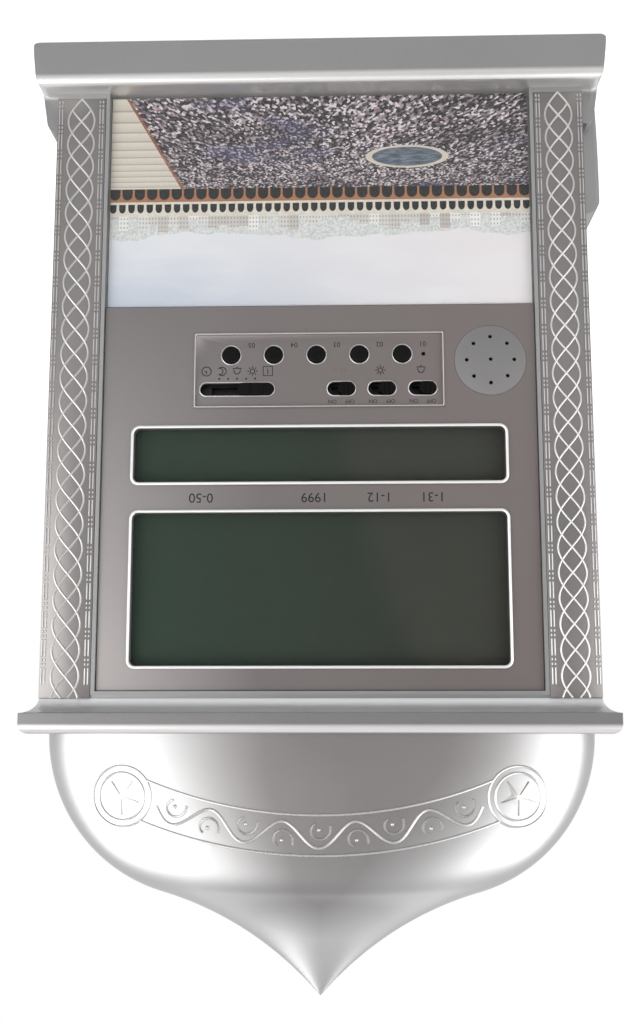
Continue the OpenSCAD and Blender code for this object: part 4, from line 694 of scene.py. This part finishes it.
def domeSkin(bm, d, inset):
    edge = domeEdge(inset, d["rows"])
    skin = []
    for w, z in edge[:-1]:
        swell = (d["swell"] - inset) * w / (d["halfWidth"] - inset)
        row = []
        for j in range(d["columns"] + 1):
            c, s = math.cos(math.pi * j / d["columns"]), max(0.0, math.sin(math.pi * j / d["columns"]))
            x = w * math.copysign(abs(c) ** (2 / d["boxy"]), c)
            row.append(bm.verts.new(atPanel(x, d["seam"] - swell * s ** (2 / d["boxy"]), z)))
        skin.append(row)
    skin.append([bm.verts.new(atPanel(0, d["seam"], edge[-1][1]))])
    for a, b in zip(skin, skin[1:]):
        for j in range(d["columns"]):
            bm.faces.new((a[j], a[j + 1], b[j + 1], b[j]) if len(b) > 1 else (a[j], a[j + 1], b[0]))
    return skin


def makeDome(d):
    bm = bmesh.new()
    outer, inner = domeSkin(bm, d, 0), domeSkin(bm, d, d["wall"])
    for j in range(d["columns"]):
        bm.faces.new((outer[0][j + 1], outer[0][j], inner[0][j], inner[0][j + 1]))
    for a, b, c, e in zip(outer, outer[1:], inner, inner[1:]):
        bm.faces.new((a[0], b[0], e[0], c[0]))
        bm.faces.new((b[-1], a[-1], c[-1], e[-1]))
    addPiece(meshFrom(bm, "DomeShell"), "DomeShell", "clock", domeSilver, ["dome_shell"],
             smooth=40)


# in mm, but ridge and scroll are shares of the line, starIn of the star, scrollSpan of the band, and
# curlIn and curl of the swing
ornament = {"line": 0.42, "low": 152.6, "high": 165.6, "centre": 114.4, "medalX": 65.0, "medalZ": 261.5,
            "rings": (9.9, 7.7), "star": 6.0, "starIn": 0.4, "starTop": 0.3, "starLow": -0.6,
            "ridgeAt": (0.9, 2.4, 4), "ridge": 0.65, "bends": 9, "swing": 4.1, "scroll": 1.2,
            "scrollSpan": 0.96, "curlIn": 0.45, "curl": 0.95, "bud": 0.75}


def ringEnd(radius, o):  # where a line of the band meets the ring of a medallion
    up, ring = o["medalZ"] - o["centre"], o["rings"][0]
    far = math.hypot(o["medalX"], up)
    meet = math.acos((radius ** 2 + far ** 2 - ring ** 2) / (2 * radius * far))
    return math.atan2(o["medalX"], up) - meet


def onBand(radius, turn, o):
    return onDome(radius * math.sin(turn), o["centre"] + radius * math.cos(turn))


def addMedallion(bm, o, side):  # two rings and a raised star with thin ridges
    r = o["line"] * mm
    cx, cz = side * o["medalX"], o["medalZ"]
    for radius in o["rings"]:
        tube(bm, [onDome(cx + radius * math.cos(a), cz + radius * math.sin(a)) for a in turns(72)], r,
             closed=True)
    for i in range(5):
        a = math.pi / 2 + 2 * math.pi * i / 5
        tube(bm, [onDome(cx + q * math.cos(a), cz + q * math.sin(a), 0.1)
                  for q in (*o["ridgeAt"], o["star"])], r * o["ridge"], sides=6)
    top = bm.verts.new(onDome(cx, cz, o["starTop"]))
    low = bm.verts.new(onDome(cx, cz, o["starLow"]))
    tips = []
    for i in range(10):
        a = math.pi / 2 + math.pi * i / 5
        out = o["star"] if i % 2 == 0 else o["star"] * o["starIn"]
        spot = (cx + out * math.cos(a), cz + out * math.sin(a))
        tips.append((bm.verts.new(onDome(*spot, 0.02)), bm.verts.new(onDome(*spot, -0.4))))
    for i in range(10):
        a, b = tips[i], tips[(i + 1) % 10]
        bm.faces.new((top, a[0], b[0]))
        bm.faces.new((a[0], a[1], b[1], b[0]))
        bm.faces.new((low, b[1], a[1]))


def addScroll(bm, o):  # a wave between the lines of the band, with a curl and a bud in each bend
    r, bends, swing = o["line"] * mm, o["bends"], o["swing"]
    middle = (o["low"] + o["high"]) / 2
    span, steps = ringEnd(middle, o) * o["scrollSpan"], 16 * bends
    tube(bm, [onBand(middle + swing * math.sin(math.pi * bends * k / steps), span * (2 * k / steps - 1), o)
              for k in range(steps + 1)], r * o["scroll"])
    for i in range(bends):
        up = 1 if i % 2 == 0 else -1
        turn = span * (2 * (i + 0.5) / bends - 1)
        radius = middle - up * swing * o["curlIn"]
        cx, cz = radius * math.sin(turn), o["centre"] + radius * math.cos(turn)
        curl = []
        for k in range(31):
            a = up * math.radians(200 - 260 * k / 30) - turn
            out = swing * o["curl"] * (1 - 0.45 * k / 30)
            curl.append(onDome(cx + out * math.cos(a), cz + out * math.sin(a)))
        tube(bm, curl, r, sides=6)
        bmesh.ops.create_icosphere(bm, subdivisions=2, radius=o["bud"] * mm,
                                   matrix=Matrix.Translation(onDome(cx, cz, -0.2)))


def makeOrnament(o):
    bm = bmesh.new()
    for side in (-1, 1):
        addMedallion(bm, o, side)
    for radius in (o["low"], o["high"]):
        span = ringEnd(radius, o)
        tube(bm, [onBand(radius, span * k / 48, o) for k in range(-48, 49)], o["line"] * mm)
    addScroll(bm, o)
    addPiece(meshFrom(bm, "DomeRelief"), "DomeRelief", "clock", domeReliefSilver,
             ["dome_relief"], smooth=40)


makeDome(dome)
makeOrnament(ornament)
print("dome made")

softened("face_panel", "FacePanel", "clock", 0.25, material=faceSilver)
bezels = {"halfWidth": 63.75, "large": (167.15, 219.55), "small": (137.95, 157.65), "radius": 2.5,
          "line": 0.56, "depth": -0.5}
field = {"halfWidth": 42.7, "low": 105.2, "high": 131.0, "radius": 0.5, "line": 0.28, "depth": -0.2,
         "floor": 0.8}
controls = {"buttonX": [-28.7, -13.95, 0.8, 15.55, 30.3], "buttonZ": 112.5, "ring": 3.35, "ringLine": 0.24,
            "switchX": [-35.6, -21.65, -7.7], "switchZ": 124.6, "slot": (9.5, 4.8), "modeX": 28.2,
            "modeSlot": (25.5, 4.5), "slotLine": 0.22, "slotGap": 0.15, "slotRadiusGap": 0.1}


def makePaintedHighlightRims(b, f, c):  # rims on the edges of the displays, the field, the holes and the slots, whose lighter paint is a painted highlight
    bm = bmesh.new()
    for low, high in (b["large"], b["small"]):
        tube(bm, roundLoop(-b["halfWidth"], b["halfWidth"], low, high, b["radius"], b["depth"]),
             b["line"] * mm, sides=12, closed=True)
    tube(bm, roundLoop(-f["halfWidth"], f["halfWidth"], f["low"], f["high"], f["radius"], f["depth"]),
         f["line"] * mm, closed=True)
    addPiece(meshFrom(bm, "PanelEdges"), "PanelEdges", "clock", brightSilver)
    bm = bmesh.new()
    for x in c["buttonX"]:
        tube(bm, circleOf(x, c["buttonZ"], c["ring"], f["floor"]), c["ringLine"] * mm, closed=True)
    for x, (w, h) in [(x, c["slot"]) for x in c["switchX"]] + [(c["modeX"], c["modeSlot"])]:
        across, tall = w / 2 + c["slotGap"], h / 2 + c["slotGap"]
        tube(bm, roundLoop(x - across, x + across, c["switchZ"] - tall, c["switchZ"] + tall,
                           h / 2 + c["slotRadiusGap"], f["floor"], 8), c["slotLine"] * mm, closed=True)
    addPiece(meshFrom(bm, "HoleEdges"), "HoleEdges", "clock", reliefSilver)


makePaintedHighlightRims(bezels, field, controls)
for word in ("up", "down", "set", "city", "stop"):
    softened(word + "_button", word.title() + "Button", word + "_key", 0.3, 3)
for word in ("azan", "alarm", "summer"):
    softened(word + "_knob", word.title() + "Knob", word + "_slider", 0.14)
softened("mode_knob", "ModeKnob", "mode_slider", 0.14)
softened("speaker_grille", "SpeakerGrille", "clock", 0.12, material=grilleSilver)
print("panel made")

# printed marks, in mm: rows are heights, labels have places of their own, the rest goes by its control
marks = {"thick": 0.015, "line": 0.15, "row": 162.4, "rowSize": 4.6, "switchRow": 129.1, "iconRow": 118.2,
         "dotRow": 120.85, "numberRow": 108.9, "switchSize": 1.9, "numberSize": 2.5, "redSize": 2.3,
         "labels": (("1-31", -38.5), ("1-12", -20.5), ("1999", 1.5), ("0-50", 40.0)),
         "switchWords": (("OFF", -2.9), ("ON", 3.1)), "numberAt": -7.0, "iconAt": 0.5,
         "modeIconAt": -10.6, "modeIconPitch": 5.3, "dotAt": -6.2, "dotPitch": 3.1, "dot": 0.16}


def writeWords(bm, words, x, z, size, depth):
    curve = bpy.data.curves.new("words", "FONT")
    curve.body, curve.size, curve.align_x, curve.align_y = words, size * mm, "CENTER", "CENTER"
    curve.extrude = marks["thick"] * mm
    obj = bpy.data.objects.new("words", curve)
    scene.collection.objects.link(obj)
    mesh = baked(obj)
    mesh.transform(Matrix.Translation(atPanel(x, depth, z)) @ Matrix.Rotation(math.radians(90), 4, "X"))
    bm.from_mesh(mesh)


def drawLine(bm, points, depth, closed=False, wide=1.0):
    tube(bm, [atPanel(x, depth, z) for x, z in points], marks["line"] * wide * mm, sides=6, closed=closed)


def arcOf(x, z, r, a0, a1, count=14):
    return [(x + r * math.cos(math.radians(a0 + (a1 - a0) * k / count)),
             z + r * math.sin(math.radians(a0 + (a1 - a0) * k / count))) for k in range(count + 1)]


def drawBell(bm, x, z, floor):
    skirt = [(x - 1.5, z - 1.0), (x + 1.5, z - 1.0), (x + 1.0, z)]
    drawLine(bm, skirt + arcOf(x, z, 1.0, 0, 180)[1:], floor, True)
    drawLine(bm, [(x - 0.3, z - 1.4), (x + 0.3, z - 1.4)], floor)


def drawSun(bm, x, z, floor):
    drawLine(bm, arcOf(x, z, 0.8, 0, 345), floor, True)
    for a in turns(8):
        drawLine(bm, [(x + q * math.cos(a), z + q * math.sin(a)) for q in (1.2, 1.75)], floor)


def drawMoon(bm, x, z, floor):
    drawLine(bm, arcOf(x, z, 1.5, 40, 320) + arcOf(x + 0.75, z, 1.15, 300, 60)[1:-1], floor, True)


def drawDial(bm, x, z, floor):
    drawLine(bm, arcOf(x, z, 1.6, 0, 345, 20), floor, True)
    drawLine(bm, [(x, z + 1.0), (x, z), (x + 0.7, z)], floor)


def drawSquare(bm, x, z, floor):
    half = 1.6
    corners = ((-half, -half), (half, -half), (half, half), (-half, half))
    drawLine(bm, [(x + dx, z + dz) for dx, dz in corners], floor, True)
    writeWords(bm, "1", x, z, 2.8, floor)


def makeMarks(m, c, floor):
    bm = bmesh.new()
    for words, x in m["labels"]:
        writeWords(bm, words, x, m["row"], m["rowSize"], 0.0)
    for x in c["switchX"]:
        for words, beside in m["switchWords"]:
            writeWords(bm, words, x + beside, m["switchRow"], m["switchSize"], floor)
    for number, x in enumerate(c["buttonX"]):
        writeWords(bm, "%02d" % (number + 1), x + m["numberAt"], m["numberRow"], m["numberSize"], floor)
    drawBell(bm, c["switchX"][0] + m["iconAt"], m["iconRow"], floor)
    drawSun(bm, c["switchX"][1] + m["iconAt"], m["iconRow"], floor)
    for k, draw in enumerate((drawSquare, drawSun, drawBell, drawMoon, drawDial)):
        draw(bm, c["modeX"] + m["modeIconAt"] + m["modeIconPitch"] * k, m["iconRow"], floor)
        dotX = c["modeX"] + m["dotAt"] + m["dotPitch"] * k
        drawLine(bm, arcOf(dotX, m["dotRow"], m["dot"], 0, 300, 5), floor, True, 1.4)
    addPiece(meshFrom(bm, "PanelMarks"), "PanelMarks", "clock", ink, smooth=0)
    bm = bmesh.new()
    writeWords(bm, "+1 -1", c["switchX"][2] + m["iconAt"], m["iconRow"], m["redSize"], floor)
    addPiece(meshFrom(bm, "RedMark"), "RedMark", "clock", redInk, smooth=0)


makeMarks(marks, controls, field["floor"])
print("marks made")

# glow is the floor's, as seen by the camera and in reflections; fill is the world's plain light
studio = {"floorTone": (0.83, 0.83, 0.83), "floorDust": (0.8, 0.8, 0.8), "glow": (0.8, 0.12), "fill": 0.24,
          "front": 0.52, "dark": (-0.2, -0.98), "edge": (0.72, 0.98), "halfFloor": 3}


def seenDirectly(g):  # 1 for camera rays, and 1 for camera, glossy and transmission rays
    path = g.add("ShaderNodeLightPath", {}, {}).socket.node
    rays = [Wire(g, path.outputs[key]) for key in ("Is Camera Ray", "Is Glossy Ray", "Is Transmission Ray")]
    return rays[0], g.maths("MAXIMUM", rays[0], g.maths("MAXIMUM", rays[1], rays[2]))


def makeFloor(s):
    material, g = newMaterial("paleFloor")
    dust = g.noise(g.here(), 40, 2.0)
    tone = g.mix(dust * 0.05, s["floorTone"], s["floorDust"])
    diffuse = g.add("ShaderNodeBsdfDiffuse", {}, {"Color": tone})
    seen, direct = seenDirectly(g)
    strength = g.maths("MAXIMUM", seen * s["glow"][0], direct * s["glow"][1])
    glow = g.add("ShaderNodeEmission", {}, {"Color": (1, 1, 1, 1), "Strength": strength})
    both = g.add("ShaderNodeAddShader", {}, {0: diffuse, 1: glow})
    g.add("ShaderNodeOutputMaterial", {}, {"Surface": both})
    half = s["halfFloor"]
    bm = bmesh.new()
    bm.faces.new([bm.verts.new((x * half, y * half, 0)) for x, y in ((-1, -1), (1, -1), (1, 1), (-1, 1))])
    mesh = bpy.data.meshes.new("floor")
    bm.to_mesh(mesh)
    bm.free()
    mesh.materials.append(material)
    floor = bpy.data.objects.new("floor", mesh)
    scene.collection.objects.link(floor)


def makeWorld(s):  # darker in front, where the photographer stands
    world = bpy.data.worlds.new("studio")
    world.use_nodes = True
    world.node_tree.nodes.clear()
    g = Graph(world.node_tree)
    way = g.parts(g.add("ShaderNodeTexCoord", {}, {}, out="Generated"))
    ahead = (way[0] * s["dark"][0] + way[1] * s["dark"][1]).ramp(*s["edge"])
    seen, direct = seenDirectly(g)
    tone = g.maths("MAXIMUM", 1.0 - ahead * (1 - s["front"]), seen)
    strength = direct * (tone - s["fill"]) + s["fill"]
    back = g.add("ShaderNodeBackground", {}, {"Color": (1, 1, 1, 1), "Strength": strength})
    g.add("ShaderNodeOutputWorld", {}, {"Surface": back})
    scene.world = world


# each lamp: its place and size in metres, and its power; all look at the middle of the clock
lamps = {"left": ((-0.86, -0.66, 0.64), (0.85, 1.3), 9.6), "right": ((0.76, -0.76, 0.64), (1.05, 1.3), 11.8),
         "top": ((0.0, 0.05, 1.3), (0.7, 0.7), 1.0)}
lampAim = (0, 0, 0.16)


def makeLamps(group):
    for name, (spot, (wide, tall), power) in group.items():
        data = bpy.data.lights.new(name, "AREA")
        data.shape, data.size, data.size_y, data.energy = "RECTANGLE", wide, tall, power
        lamp = bpy.data.objects.new(name, data)
        lamp.location = spot
        lamp.rotation_mode = "QUATERNION"
        lamp.rotation_quaternion = (Vector(lampAim) - Vector(spot)).to_track_quat("-Z", "Y")
        scene.collection.objects.link(lamp)


makeFloor(studio)
makeWorld(studio)
makeLamps(lamps)
scene.view_settings.view_transform = "Standard"
bpy.context.view_layer.update()
print("scene ready")
